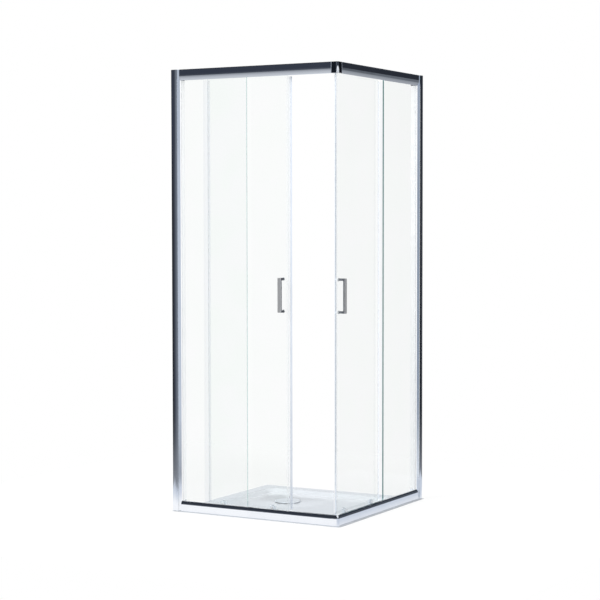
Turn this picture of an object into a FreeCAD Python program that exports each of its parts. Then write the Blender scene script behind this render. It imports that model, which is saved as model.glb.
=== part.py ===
import FreeCAD, Part
import math
import os

from FreeCAD import Vector

# Corner shower enclosure with two sliding doors on a square tray, in millimetres.
# +Z is up and the origin is the middle of the tray's underside. The doors meet at the
# corner (+X, -Y); the walls are at -X and +Y. The right side mirrors the left one.

# Overall sizes
TRAY_SIDE = 800.0
TRAY_HEIGHT = 40.0
FRAME_HEIGHT = 1850.0
FRAME_SETBACK = 12.0
GLASS = 5.0

# Clearances
OVERRUN = 5.0
RUN_GAP = 0.3
SLIP_GAP = 0.1
PIN_FIT = 0.05

# Rail extrusion: v runs inwards from the outer face, h from the flat outer edge
RAIL_HEIGHT = 45.0
RAIL_WALL = 1.8
RAIL_EDGE_ROUND = 2.5
LIP_REACH = 9.0
TOP_LIP_RISE = 23.0
FOOT_LIP_RISE = 15.0
LIP_MIDDLE_SHARES = (0.0, 0.5, 1.0)
LEDGE_RECESS = 9.0
LEDGE_GAP = 1.3
RIB_RISE = 4.0
RIB_WIDTH = 2.0
SKIRT_DROP = 8.0
SKIRT_GAP = 4.2
BOSS_RADIUS = 2.9

# Wheels, the same above and below
WHEEL_RADIUS = 11.3
WHEEL_WIDTH = 8.0
WHEEL_SIDE_GAP = 1.9
GROOVE_DEPTH = 1.8
GROOVE_PLAY = 0.5
AXLE_RADIUS = 3.0
AXLE_HEAD_RADIUS = 5.0
AXLE_HEAD = 1.8
AXLE_HEAD_GAP = 0.4

# Eccentric bushes and cap nuts that hold the rollers in the door glass
BUSH_RADIUS = 8.0
BUSH_FLANGE_RADIUS = 10.0
BUSH_FLANGE = 1.4
BUSH_THROW = 1.5
ROLLER_NUT_RADIUS = 10.5
ROLLER_NUT_HEIGHT = 4.6
NUT_CAP = 1.0

# Sprung guides on the foot of each door
GUIDE_WIDTH = 26.0
GUIDE_DEPTH = 9.0
GUIDE_FOOT = 26.0
GUIDE_TOP = 53.0
GUIDE_BOSS_RADIUS = 5.0
GUIDE_BOSS_RISE = 44.0
GUIDE_STUD_RADIUS = 2.5
GUIDE_NUT_RADIUS = 6.5
GUIDE_NUT_HEIGHT = 3.2
STEM_WIDTH = 8.0
STEM_DEPTH = 5.0
STEM_TOP = 40.0
STEM_BELOW_AXLE = 4.2
PUSHROD_RADIUS = 2.0
SPRING_WIRE = 1.2
SPRING_PLAY = 0.4
SPRING_FOOT = 43.0
BUTTON_RADIUS = 3.7
BUTTON_FOOT = 55.5
BUTTON_HEIGHT = 3.0

# Doors
DOOR_WIDTH_SHARE = 0.486
DOOR_TOP_GAP = 10.0
DOOR_FOOT_GAP = 32.0
DOOR_END_GAP = 17.0
LEFT_DOOR_OPEN_SHARE = 0.69
ROLLER_FROM_LEAD = 80.0
ROLLER_FROM_REAR = 68.0
SEAL_WALL = 1.3
SEAL_GRIP = 10.0
SEAL_END_GAP = 3.0
LEAD_HEAD = 6.7
MAGNET_LENGTH = 6.0
MAGNET_THICKNESS = 1.8
MAGNET_COVER = 1.2
REAR_SEAL_REACH = 12.0
REAR_FIN = 1.4
DOOR_OVERLAP = 11.0

# Handle
HANDLE_LENGTH = 141.0
HANDLE_WIDTH = 16.0
HANDLE_BAR = 9.5
HANDLE_REACH = 30.0
HANDLE_ROUND = 1.6
HANDLE_FROM_LEAD = 26.5
HANDLE_RISE = 920.0
HANDLE_HOLE_RADIUS = 5.0
HANDLE_SCREW_RADIUS = 2.4
HANDLE_SCREW_DEPTH = 14.0
HANDLE_CAP_RADIUS = 7.0
HANDLE_CAP_HEIGHT = 4.0
HANDLE_WASHER = 1.0
HANDLE_PAD_RADIUS = 4.4

# Wall profile and stile
WALL_FACE = 28.0
WALL_BULGE = 2.5
WALL_PROUD = 2.5
WALL_FLANGE = 1.4
PROFILE_WALL = 2.0
STILE_FACE = 12.0
STILE_TIP = 1.3
STILE_ADJUST = 5.0
STILE_WALL = 1.8
POCKET_DEPTH = 17.0
POCKET_GASKET = 1.3
GLASS_END_GAP = 3.0
WALL_HOLE_RADIUS = 2.5
WALL_HOLE_END = 125.0
WALL_HOLE_SHARES = (0.0, 0.3, 0.7, 1.0)

# Fixed glass and its gaskets
GASKET_OUTER = 1.68
GASKET_INNER = 2.0
GASKET_HEIGHT = 8.0
FIXED_GLASS_GAP = 8.0
SETTING_BLOCK = 40.0
SETTING_BLOCK_SHARES = (0.15, 0.75)

# Corner connectors and frame screws
CORNER_EXTRA = 3.0
CONNECTOR_GAP = 1.0
TONGUE_LENGTH = 22.0
TONGUE_HEIGHT = 20.0
SCREW_RADIUS = 1.7
SCREW_HEAD_RADIUS = 2.9
SCREW_HEAD = 2.0
SCREW_GRIP = 12.0
LOCK_SCREW_GRIP = 8.0
LOCK_SCREW_END = 100.0
LOCK_SCREW_SHARES = (0.0, 0.5, 1.0)

# Door stops
STOP_LENGTH = 14.0
STOP_RISE = 8.0
STOP_PLAY = 1.0

# Tray
RIM_WIDTH = 60.0
BASIN_DEPTH = 18.0
BASIN_SLOPE = 14.0
BASIN_CORNER = 60.0
TRAY_CORNER = 15.0
BASIN_ROUND = 5.0
DRAIN_INSET = 250.0
DISH_RADIUS = 170.0
DISH_DEPTH = 4.0

# Waste
FLANGE_RADIUS = 57.5
FLANGE = 3.0
WASHER = 1.5
WASTE_TUBE_RADIUS = 40.0
WASTE_TUBE_WALL = 3.5
WASTE_TUBE_LENGTH = 16.0
WASTE_SOCKET_DEPTH = 8.0
WASTE_SHOULDER = 2.0
WASTE_HOLE_GAP = 1.0
TRAY_CLAMP = 4.5
WASTE_NUT_HEIGHT = 6.0
WASTE_NUT_RADIUS = 56.0
WASTE_RECESS_GAP = 6.0
NUT_NOTCH = 8.0
NUT_NOTCHES = 4
COVER_RADIUS = 56.5
COVER = 3.5
COVER_RISE = 3.0
COVER_ROUND = 2.0
COVER_PEGS = 3
COVER_PEG_RADIUS = 3.0
COVER_PEG_DROP = 8.0
COVER_PAD_INSET = 6.0

# Places that follow from the sizes above
FACE = TRAY_SIDE / 2 - FRAME_SETBACK
FRAME_SIDE = TRAY_SIDE - FRAME_SETBACK
FOOT = TRAY_HEIGHT
TOP = FOOT + FRAME_HEIGHT
FIXED_V = LIP_REACH + RAIL_WALL + GASKET_OUTER
WEB_V = FIXED_V + GLASS + GASKET_INNER
TRACK_V = WEB_V + RAIL_WALL
WHEEL_V = TRACK_V + WHEEL_SIDE_GAP
RIB_V = WHEEL_V + WHEEL_WIDTH / 2 - RIB_WIDTH / 2
DOOR_V = WHEEL_V + WHEEL_WIDTH + RUN_GAP + BUSH_FLANGE
DOOR_INNER_V = DOOR_V + GLASS
RAIL_DEPTH = DOOR_INNER_V + SKIRT_GAP + RAIL_WALL
LEDGE_H = RAIL_HEIGHT - LEDGE_RECESS - RAIL_WALL
RIB_H = LEDGE_H - RIB_RISE
GROOVE_RADIUS = WHEEL_RADIUS - GROOVE_DEPTH
AXLE_H = RIB_H - RUN_GAP - GROOVE_RADIUS
BOSSES = (
    (DOOR_INNER_V - BOSS_RADIUS, RAIL_WALL + BOSS_RADIUS),
    (TRACK_V + BOSS_RADIUS, LEDGE_H + RAIL_WALL + BOSS_RADIUS),
)
CONNECTOR = DOOR_V - CONNECTOR_GAP
CORNER_RADIUS = LIP_REACH + CORNER_EXTRA
TONGUE_H = RAIL_WALL + RUN_GAP
WALL_U = FRAME_SIDE - WALL_FACE
STILE_U = WALL_U - STILE_FACE
STILE_END_U = FRAME_SIDE - PROFILE_WALL - STILE_ADJUST
WALL_EDGE_V = WALL_BULGE - WALL_PROUD
STILE_V = WALL_EDGE_V + WALL_FLANGE + RUN_GAP
STILE_INNER_V = RAIL_DEPTH - PROFILE_WALL - RUN_GAP
LEAD_U = DOOR_INNER_V + SEAL_WALL + LEAD_HEAD
REAR_U = LEAD_U + DOOR_WIDTH_SHARE * FRAME_SIDE
REAR_END_U = REAR_U + REAR_SEAL_REACH
DOOR_TRAVEL = STILE_U - DOOR_END_GAP - REAR_END_U
LEFT_DOOR_OPEN = LEFT_DOOR_OPEN_SHARE * DOOR_TRAVEL
FIXED_U = REAR_END_U - DOOR_OVERLAP
POCKET_END_U = STILE_U + POCKET_DEPTH
FIXED_END_U = POCKET_END_U - GLASS_END_GAP
ROLLER_U = (LEAD_U + ROLLER_FROM_LEAD, REAR_U - ROLLER_FROM_REAR)
HANDLE_U = LEAD_U + HANDLE_FROM_LEAD
SEAL_FOOT = FOOT + RAIL_HEIGHT + SEAL_END_GAP
SEAL_TOP = TOP - RAIL_HEIGHT - SEAL_END_GAP
GUIDE_V = DOOR_INNER_V + GUIDE_DEPTH / 2
DRAIN_U = FRAME_SIDE - DRAIN_INSET
BASIN_Z = TRAY_HEIGHT - BASIN_DEPTH
FLANGE_TOP = BASIN_Z - DISH_DEPTH
FLANGE_SEAT = FLANGE_TOP - FLANGE - WASHER
CLAMP_FOOT = FLANGE_SEAT - TRAY_CLAMP
SOCKET_RADIUS = WASTE_TUBE_RADIUS - WASTE_TUBE_WALL
THROAT_RADIUS = SOCKET_RADIUS - WASTE_SHOULDER
RIGHT_SIDE = Vector(1, 1, 0)


def at(u, v, z):
    """Point u along the left face from the corner, v in from that face, at height z."""
    return Vector(FACE - u, v - FACE, z)


def above(h):
    """Height of a place h up from the frame's foot."""
    return FOOT + h


def below(h):
    """Height of a place h down from the frame's top."""
    return TOP - h


def block(u0, u1, v0, v1, z0, z1):
    """Box between two corners given along and in from the left face."""
    return Part.makeBox(u1 - u0, v1 - v0, z1 - z0, at(u1, v0, z0))


def span(level, u0, u1, v0, v1, h0, h1):
    """Box in a rail, with its heights counted from the rail's outer edge by level."""
    low, high = sorted((level(h0), level(h1)))
    return block(u0, u1, v0, v1, low, high)


def across(u, v, z, radius, length):
    """Round bar that runs inwards from depth v."""
    return Part.makeCylinder(radius, length, at(u, v, z), Vector(0, 1, 0))


def along(u, v, z, radius, length):
    """Round bar that runs from u towards the wall."""
    return Part.makeCylinder(radius, length, at(u, v, z), Vector(-1, 0, 0))


def upright(u, v, z, radius, length):
    """Round bar that stands on height z."""
    return Part.makeCylinder(radius, length, at(u, v, z))


def prism(outline, z0, z1):
    """Upright bar with an outline of (u, v) points."""
    points = [at(u, v, z0) for u, v in outline]
    return Part.Face(Part.makePolygon(points + points[:1])).extrude(Vector(0, 0, z1 - z0))


def mirrored(shape):
    """The same piece on the right side."""
    return shape.mirror(Vector(0, 0, 0), RIGHT_SIDE)


def both(shapes):
    """Pieces of the left side together with those of the right side."""
    return Part.makeCompound(shapes + [mirrored(shape) for shape in shapes])


def flat_front(place, back_v, foot_h):
    """Edges of a front line from its top back corner over the rounded edge and down to foot_h.

    place turns (v, h) into a point; back_v is where the flat outer edge starts.
    """
    turn = RAIL_EDGE_ROUND * (1 - math.sqrt(0.5))
    round_start = place(RAIL_EDGE_ROUND, 0)
    round_end = place(0, RAIL_EDGE_ROUND)
    return [
        Part.makeLine(place(back_v, 0), round_start),
        Part.Arc(round_start, place(turn, turn), round_end).toShape(),
        Part.makeLine(round_end, place(0, foot_h)),
    ]


def lip_line(rise, inset):
    """Start, middle and end as (v, h) of a lip's arc, inset from its outer face."""
    radius = (LIP_REACH ** 2 + rise ** 2) / (2 * LIP_REACH)
    angle = math.asin(rise / radius)
    reach = radius - inset
    return [
        (radius - reach * math.cos(share * angle), RAIL_HEIGHT - rise + reach * math.sin(share * angle))
        for share in LIP_MIDDLE_SHARES
    ]


def lipped_front(place, back_v, rise):
    """Edges of a rail's front line, with the lip that curves in to the glass."""
    lip = Part.Arc(*[place(v, h) for v, h in lip_line(rise, 0)]).toShape()
    return flat_front(place, back_v, RAIL_HEIGHT - rise) + [lip]


def rail_skin(place, rise):
    """Face of the rail's outer wall, lip, top and back skirt."""
    inner_end, inner_middle, lip_inner = [place(v, h) for v, h in lip_line(rise, RAIL_WALL)]
    back = (
        (RAIL_WALL, RAIL_WALL),
        (RAIL_DEPTH - RAIL_WALL, RAIL_WALL),
        (RAIL_DEPTH - RAIL_WALL, SKIRT_DROP),
        (RAIL_DEPTH, SKIRT_DROP),
        (RAIL_DEPTH, 0),
    )
    inside = [inner_end] + [place(v, h) for v, h in back]
    edges = lipped_front(place, RAIL_DEPTH, rise)
    edges.append(Part.makeLine(place(LIP_REACH, RAIL_HEIGHT), lip_inner))
    edges.append(Part.Arc(lip_inner, inner_middle, inner_end).toShape())
    edges += [Part.makeLine(a, b) for a, b in zip(inside, inside[1:])]
    return Part.Face(Part.Wire(Part.__sortEdges__(edges)))


def rail(level, rise):
    """One rail of the left side; level turns a depth in the section into a height, rise is its lip's."""
    def place(v, h):
        return at(CONNECTOR, v, level(h))

    shape = rail_skin(place, rise).extrude(Vector(CONNECTOR - STILE_U, 0, 0))
    ledge_end_v = DOOR_V - LEDGE_GAP
    ledge_foot_h = LEDGE_H + RAIL_WALL
    inside = [
        span(level, CONNECTOR, STILE_U, WEB_V, TRACK_V, 0, ledge_foot_h),
        span(level, CONNECTOR, STILE_U, WEB_V, ledge_end_v, LEDGE_H, ledge_foot_h),
        span(level, CONNECTOR, STILE_U, RIB_V, RIB_V + RIB_WIDTH, RIB_H, LEDGE_H),
    ]
    length = STILE_U - CONNECTOR
    for v, h in BOSSES:
        root_h = h - BOSS_RADIUS - RAIL_WALL
        inside.append(along(CONNECTOR, v, level(h), BOSS_RADIUS, length))
        inside.append(span(level, CONNECTOR, STILE_U, v - BOSS_RADIUS, v + BOSS_RADIUS, root_h, h))
    shape = shape.multiFuse(inside)
    for v, h in BOSSES:
        shape = shape.cut(along(CONNECTOR, v, level(h), SCREW_RADIUS + PIN_FIT, length))
    screw_u, screw_h = tongue_screw()
    screw_z = level(screw_h)
    shape = shape.cut(across(screw_u, WEB_V - RUN_GAP, screw_z, SCREW_RADIUS + SLIP_GAP, RAIL_WALL + OVERRUN))
    corner = RAIL_DEPTH + OVERRUN
    mitre = ((CONNECTOR, CONNECTOR), (corner, corner), (CONNECTOR, corner))
    low, high = sorted((level(0), level(RAIL_HEIGHT)))
    return shape.cut(prism(mitre, low, high)).removeSplitter()


def tongue_screw():
    """Place along the face and depth in the rail of the screw in a connector's tongue."""
    return CONNECTOR + TONGUE_LENGTH / 2, TONGUE_H + TONGUE_HEIGHT / 2


def connector(level, rise):
    """Corner block with a tongue into each rail; its lip has a rise as the rails' has, or none."""
    def solid_section(u, back_v):
        def place(v, h):
            return at(u, v, level(h))

        if rise:
            edges = lipped_front(place, back_v, rise)
            front_foot = place(LIP_REACH, RAIL_HEIGHT)
        else:
            edges = flat_front(place, back_v, RAIL_HEIGHT)
            front_foot = place(0, RAIL_HEIGHT)
        edges.append(Part.makeLine(front_foot, place(back_v, RAIL_HEIGHT)))
        edges.append(Part.makeLine(place(back_v, RAIL_HEIGHT), place(back_v, 0)))
        return Part.Face(Part.Wire(Part.__sortEdges__(edges)))

    straight = solid_section(CORNER_RADIUS, CONNECTOR).extrude(Vector(CORNER_RADIUS - CONNECTOR, 0, 0))
    axis_foot = at(CORNER_RADIUS, CORNER_RADIUS, 0)
    bend = solid_section(CORNER_RADIUS, CORNER_RADIUS).revolve(axis_foot, Vector(0, 0, 1), 90)
    tongue = span(
        level,
        CONNECTOR,
        CONNECTOR + TONGUE_LENGTH,
        RAIL_WALL + RUN_GAP,
        WEB_V - RUN_GAP,
        TONGUE_H,
        TONGUE_H + TONGUE_HEIGHT,
    )
    screw_u, screw_h = tongue_screw()
    hole = across(screw_u, WEB_V - SCREW_GRIP, level(screw_h), SCREW_RADIUS + PIN_FIT, SCREW_GRIP)
    tongue = tongue.cut(hole)
    return straight.multiFuse([mirrored(straight), bend, tongue, mirrored(tongue)]).removeSplitter()


def connector_screws():
    """Screws of one side, from the track through the rail's web into each tongue."""
    screw_u, screw_h = tongue_screw()
    screws = []
    for level in (above, below):
        shank = across(screw_u, TRACK_V - SCREW_GRIP, level(screw_h), SCREW_RADIUS, SCREW_GRIP)
        head = across(screw_u, TRACK_V, level(screw_h), SCREW_HEAD_RADIUS, SCREW_HEAD)
        screws.append(shank.fuse(head))
    return screws


def wall_profile():
    """U profile that is screwed to the wall, with a bulged outer face."""
    crown_u = (WALL_U + FRAME_SIDE) / 2
    flange_v = WALL_EDGE_V + WALL_FLANGE
    start = at(WALL_U, WALL_EDGE_V, FOOT)
    end = at(FRAME_SIDE, WALL_EDGE_V, FOOT)
    inner_start = at(WALL_U, flange_v, FOOT)
    inner_end = at(FRAME_SIDE, flange_v, FOOT)
    face = Part.Face(Part.Wire([
        Part.Arc(start, at(crown_u, -WALL_PROUD, FOOT), end).toShape(),
        Part.makeLine(end, inner_end),
        Part.Arc(inner_end, at(crown_u, WALL_FLANGE - WALL_PROUD, FOOT), inner_start).toShape(),
        Part.makeLine(inner_start, start),
    ]))
    shape = face.extrude(Vector(0, 0, FRAME_HEIGHT))
    plate_u = FRAME_SIDE - PROFILE_WALL
    shape = shape.multiFuse([
        block(plate_u, FRAME_SIDE, WALL_EDGE_V, RAIL_DEPTH, FOOT, TOP),
        block(WALL_U, FRAME_SIDE, RAIL_DEPTH - PROFILE_WALL, RAIL_DEPTH, FOOT, TOP),
    ])
    bore_length = PROFILE_WALL + 2 * OVERRUN
    for z in wall_hole_heights():
        shape = shape.cut(along(plate_u - OVERRUN, RAIL_DEPTH / 2, z, WALL_HOLE_RADIUS, bore_length))
    for z in lock_screw_heights():
        u, v = lock_screw_place()
        shape = shape.cut(across(u, v - OVERRUN, z, SCREW_RADIUS + SLIP_GAP, 2 * OVERRUN))
    return shape.removeSplitter()


def wall_hole_heights():
    """Heights of the holes for the wall screws."""
    run = FRAME_HEIGHT - 2 * WALL_HOLE_END
    return [FOOT + WALL_HOLE_END + share * run for share in WALL_HOLE_SHARES]


def lock_screw_heights():
    """Heights of the screws that lock the stile in the wall profile."""
    run = FRAME_HEIGHT - 2 * LOCK_SCREW_END
    return [FOOT + LOCK_SCREW_END + share * run for share in LOCK_SCREW_SHARES]


def lock_screw_place():
    """Place along and in from the face of a lock screw's head seat."""
    return (WALL_U + STILE_END_U) / 2, RAIL_DEPTH


def stile_outline(tip_v):
    """Outline of the stile, with a lip that slants from the wall profile's edge in to tip_v at the glass."""
    corners = [
        at(WALL_U, STILE_V, FOOT),
        at(STILE_U, tip_v, FOOT),
        at(STILE_U, STILE_INNER_V, FOOT),
        at(STILE_END_U, STILE_INNER_V, FOOT),
        at(STILE_END_U, STILE_V, FOOT),
    ]
    return Part.makePolygon(corners + corners[:1])


def stile():
    """Upright tube that slides in the wall profile and holds the fixed glass and the rails."""
    pocket_v = FIXED_V - POCKET_GASKET
    pocket_end_v = FIXED_V + GLASS + POCKET_GASKET
    front_v = STILE_V + STILE_WALL
    back_v = STILE_INNER_V - STILE_WALL
    end_u = STILE_END_U - STILE_WALL
    low = FOOT - OVERRUN
    high = TOP + OVERRUN
    shape = Part.Face(stile_outline(pocket_v - STILE_TIP)).extrude(Vector(0, 0, FRAME_HEIGHT))
    shape = shape.cut([
        block(STILE_U + STILE_WALL, end_u, pocket_end_v + STILE_WALL, back_v, low, high),
        block(POCKET_END_U + STILE_WALL, end_u, front_v, back_v, low, high),
        block(WALL_U, end_u, front_v, pocket_v - STILE_WALL, low, high),
        block(STILE_U - OVERRUN, POCKET_END_U, pocket_v, pocket_end_v, low, high),
    ])
    for v, h in BOSSES:
        for level in (above, below):
            shape = shape.cut(along(STILE_U - OVERRUN, v, level(h), SCREW_RADIUS + SLIP_GAP, 2 * OVERRUN))
    for z in lock_screw_heights():
        u, v = lock_screw_place()
        shape = shape.cut(across(u, v - LOCK_SCREW_GRIP, z, SCREW_RADIUS + PIN_FIT, LOCK_SCREW_GRIP))
    return shape.removeSplitter()


def stile_screws():
    """Screws of one side, through the stile into the rails' screw channels."""
    screws = []
    seat_u = STILE_U + STILE_WALL
    for v, h in BOSSES:
        for level in (above, below):
            shank = along(seat_u - SCREW_GRIP, v, level(h), SCREW_RADIUS, SCREW_GRIP)
            screws.append(shank.fuse(along(seat_u, v, level(h), SCREW_HEAD_RADIUS, SCREW_HEAD)))
    return screws


def lock_screws():
    """Screws that lock each stile in its wall profile, with their heads inside the enclosure."""
    u, v = lock_screw_place()
    screws = []
    for z in lock_screw_heights():
        shank = across(u, v - LOCK_SCREW_GRIP, z, SCREW_RADIUS, LOCK_SCREW_GRIP)
        screws.append(shank.fuse(across(u, v, z, SCREW_HEAD_RADIUS, SCREW_HEAD)))
    return both(screws)


def fixed_glass():
    """Fixed pane between the rails, with its wall edge in the stile."""
    low = above(FIXED_GLASS_GAP)
    high = below(FIXED_GLASS_GAP)
    return block(FIXED_U, FIXED_END_U, FIXED_V, FIXED_V + GLASS, low, high)


def glazing_gaskets():
    """Rubber strips and setting blocks round the fixed pane."""
    strips = []
    outer_h = RAIL_HEIGHT - GASKET_HEIGHT
    inner_h = LEDGE_H + RAIL_WALL - GASKET_HEIGHT
    inner_v = FIXED_V + GLASS
    for level, rise in ((above, FOOT_LIP_RISE), (below, TOP_LIP_RISE)):
        lip_v, _ = lip_line(rise, RAIL_WALL)[-1]
        strips.append(span(
            level, FIXED_U, STILE_U, lip_v + SLIP_GAP, FIXED_V, outer_h, RAIL_HEIGHT))
        strips.append(span(
            level, FIXED_U, STILE_U, inner_v, WEB_V, inner_h, inner_h + GASKET_HEIGHT))
    low = above(FIXED_GLASS_GAP)
    high = below(FIXED_GLASS_GAP)
    strips.append(block(STILE_U, FIXED_END_U, FIXED_V - POCKET_GASKET, FIXED_V, low, high))
    strips.append(block(STILE_U, FIXED_END_U, inner_v, inner_v + POCKET_GASKET, low, high))
    for share in SETTING_BLOCK_SHARES:
        u = FIXED_U + share * (STILE_U - FIXED_U)
        strips.append(block(u, u + SETTING_BLOCK, FIXED_V, WEB_V, above(RAIL_WALL), low))
    return Part.makeCompound(strips)


def door_stops():
    """Rubber blocks on the upper track that stop each door's wheels at both ends."""
    reach = WHEEL_RADIUS + RUN_GAP
    starts = (ROLLER_U[0] - reach - STOP_LENGTH, ROLLER_U[1] + DOOR_TRAVEL + reach)
    stops = []
    for u in starts:
        end_u = u + STOP_LENGTH
        end_v = DOOR_V - LEDGE_GAP - STOP_PLAY
        body = span(below, u, end_u, TRACK_V, end_v, RIB_H - STOP_RISE, LEDGE_H)
        rib = span(below, u, end_u, RIB_V, RIB_V + RIB_WIDTH, RIB_H, LEDGE_H)
        stops.append(body.cut(rib))
    return both(stops)


def wheel(u, z):
    """Grooved wheel that runs on a rail's rib."""
    shape = across(u, WHEEL_V, z, WHEEL_RADIUS, WHEEL_WIDTH)
    groove_width = RIB_WIDTH + 2 * GROOVE_PLAY
    groove_v = RIB_V - GROOVE_PLAY
    ring = across(u, groove_v, z, WHEEL_RADIUS + OVERRUN, groove_width)
    ring = ring.cut(across(u, groove_v, z, GROOVE_RADIUS, groove_width))
    head_seat = AXLE_HEAD_GAP + AXLE_HEAD + RUN_GAP
    recess = across(u, WHEEL_V - OVERRUN, z, AXLE_HEAD_RADIUS + AXLE_HEAD_GAP, OVERRUN + head_seat)
    bore = across(u, WHEEL_V - OVERRUN, z, AXLE_RADIUS + PIN_FIT, WHEEL_WIDTH + 2 * OVERRUN)
    return shape.cut(ring).cut(recess).cut(bore)


def wheel_pin(u, z, end_v):
    """Pin that a wheel turns on, with its head in the wheel's recess, up to depth end_v."""
    head_v = WHEEL_V + AXLE_HEAD_GAP
    head = across(u, head_v, z, AXLE_HEAD_RADIUS, AXLE_HEAD)
    return head.fuse(across(u, head_v, z, AXLE_RADIUS, end_v - head_v))


def roller_nut_depth():
    """How far an axle goes into its cap nut."""
    return ROLLER_NUT_HEIGHT - NUT_CAP


def roller_axles():
    """Axle bolts of a door's two upper wheels."""
    end_v = DOOR_INNER_V + roller_nut_depth() - SLIP_GAP
    return Part.makeCompound([wheel_pin(u, below(AXLE_H), end_v) for u in ROLLER_U])


def roller_bushes():
    """Eccentric bushes that set the door's height, one round each axle."""
    bushes = []
    for u in ROLLER_U:
        z = below(AXLE_H)
        body = across(u, DOOR_V, z - BUSH_THROW, BUSH_RADIUS - PIN_FIT, GLASS)
        flange = across(u, DOOR_V - BUSH_FLANGE, z - BUSH_THROW, BUSH_FLANGE_RADIUS, BUSH_FLANGE)
        bore = across(u, DOOR_V - BUSH_FLANGE, z, AXLE_RADIUS + PIN_FIT, GLASS + BUSH_FLANGE)
        bushes.append(body.fuse(flange).cut(bore))
    return Part.makeCompound(bushes)


def cap_nuts():
    """Cap nuts on the roller axles, inside the door, and on the guides' studs, outside it."""
    nuts = []
    for u in ROLLER_U:
        nut = across(u, DOOR_INNER_V, below(AXLE_H), ROLLER_NUT_RADIUS, ROLLER_NUT_HEIGHT)
        hole = across(u, DOOR_INNER_V, below(AXLE_H), AXLE_RADIUS + PIN_FIT, roller_nut_depth())
        nuts.append(nut.cut(hole))
        depth = GUIDE_NUT_HEIGHT - NUT_CAP
        z = above(GUIDE_BOSS_RISE)
        nut = across(u, DOOR_V - GUIDE_NUT_HEIGHT, z, GUIDE_NUT_RADIUS, GUIDE_NUT_HEIGHT)
        hole = across(u, DOOR_V - depth, z, GUIDE_STUD_RADIUS + PIN_FIT, depth)
        nuts.append(nut.cut(hole))
    return Part.makeCompound(nuts)


def guide_bodies():
    """Housings on the door's foot in which the guide carriages slide."""
    bodies = []
    half_stem = STEM_WIDTH / 2 + RUN_GAP
    half_depth = STEM_DEPTH / 2 + RUN_GAP
    stud_length = GUIDE_NUT_HEIGHT - NUT_CAP - SLIP_GAP
    for u in ROLLER_U:
        body = block(
            u - GUIDE_WIDTH / 2,
            u + GUIDE_WIDTH / 2,
            DOOR_INNER_V,
            DOOR_INNER_V + GUIDE_DEPTH,
            above(GUIDE_FOOT),
            above(GUIDE_TOP),
        )
        z = above(GUIDE_BOSS_RISE)
        body = body.fuse(across(u, DOOR_V, z, GUIDE_BOSS_RADIUS - PIN_FIT, GLASS))
        body = body.fuse(across(u, DOOR_V - stud_length, z, GUIDE_STUD_RADIUS, stud_length))
        slot = block(
            u - half_stem,
            u + half_stem,
            GUIDE_V - half_depth,
            GUIDE_V + half_depth,
            above(GUIDE_FOOT) - OVERRUN,
            above(STEM_TOP) + RUN_GAP,
        )
        well = upright(u, GUIDE_V, above(SPRING_FOOT), BUTTON_RADIUS + RUN_GAP, GUIDE_TOP)
        bore = upright(u, GUIDE_V, above(GUIDE_FOOT), PUSHROD_RADIUS + SLIP_GAP, GUIDE_TOP)
        bodies.append(body.cut(slot).cut(well).cut(bore))
    return Part.makeCompound(bodies)


def guide_carriage(u):
    """Sprung carriage with the pin of a guide wheel below and a release button on top."""
    stem = block(
        u - STEM_WIDTH / 2,
        u + STEM_WIDTH / 2,
        GUIDE_V - STEM_DEPTH / 2,
        GUIDE_V + STEM_DEPTH / 2,
        above(AXLE_H - STEM_BELOW_AXLE),
        above(STEM_TOP),
    )
    return stem.multiFuse([
        wheel_pin(u, above(AXLE_H), GUIDE_V),
        upright(u, GUIDE_V, above(STEM_TOP), PUSHROD_RADIUS, BUTTON_FOOT - STEM_TOP),
        upright(u, GUIDE_V, above(BUTTON_FOOT), BUTTON_RADIUS, BUTTON_HEIGHT),
    ])


def guide_spring(u):
    """Sleeve of the spring that lifts a guide carriage."""
    inner = PUSHROD_RADIUS + SPRING_PLAY
    height = BUTTON_FOOT - SPRING_FOOT
    spring = upright(u, GUIDE_V, above(SPRING_FOOT), inner + SPRING_WIRE, height)
    return spring.cut(upright(u, GUIDE_V, above(SPRING_FOOT), inner, height))


def handle_heights():
    """Heights of the handle's two feet."""
    half = (HANDLE_LENGTH - HANDLE_BAR) / 2
    return above(HANDLE_RISE - half), above(HANDLE_RISE + half)


def door_glass():
    """Sliding pane with its holes for the rollers, guides and handle."""
    pane = block(LEAD_U, REAR_U, DOOR_V, DOOR_INNER_V, above(DOOR_FOOT_GAP), below(DOOR_TOP_GAP))
    holes = [(HANDLE_U, z, HANDLE_HOLE_RADIUS) for z in handle_heights()]
    for u in ROLLER_U:
        holes.append((u, below(AXLE_H) - BUSH_THROW, BUSH_RADIUS))
        holes.append((u, above(GUIDE_BOSS_RISE), GUIDE_BOSS_RADIUS))
    for u, z, radius in holes:
        pane = pane.cut(across(u, DOOR_V - OVERRUN, z, radius, GLASS + 2 * OVERRUN))
    return pane


def magnet_outline(length, thickness):
    """Rectangle beside the slanted face of the leading seal, as (u, v) points."""
    step = math.sqrt(0.5)
    middle_v = (DOOR_V + DOOR_INNER_V) / 2
    middle_u = middle_v + RUN_GAP + (MAGNET_COVER + MAGNET_THICKNESS / 2) / step
    outline = []
    for side, face in ((-1, -1), (1, -1), (1, 1), (-1, 1)):
        run = side * length / 2 * step
        out = face * thickness / 2 * step
        outline.append((middle_u + run + out, middle_v + run - out))
    return outline


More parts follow.
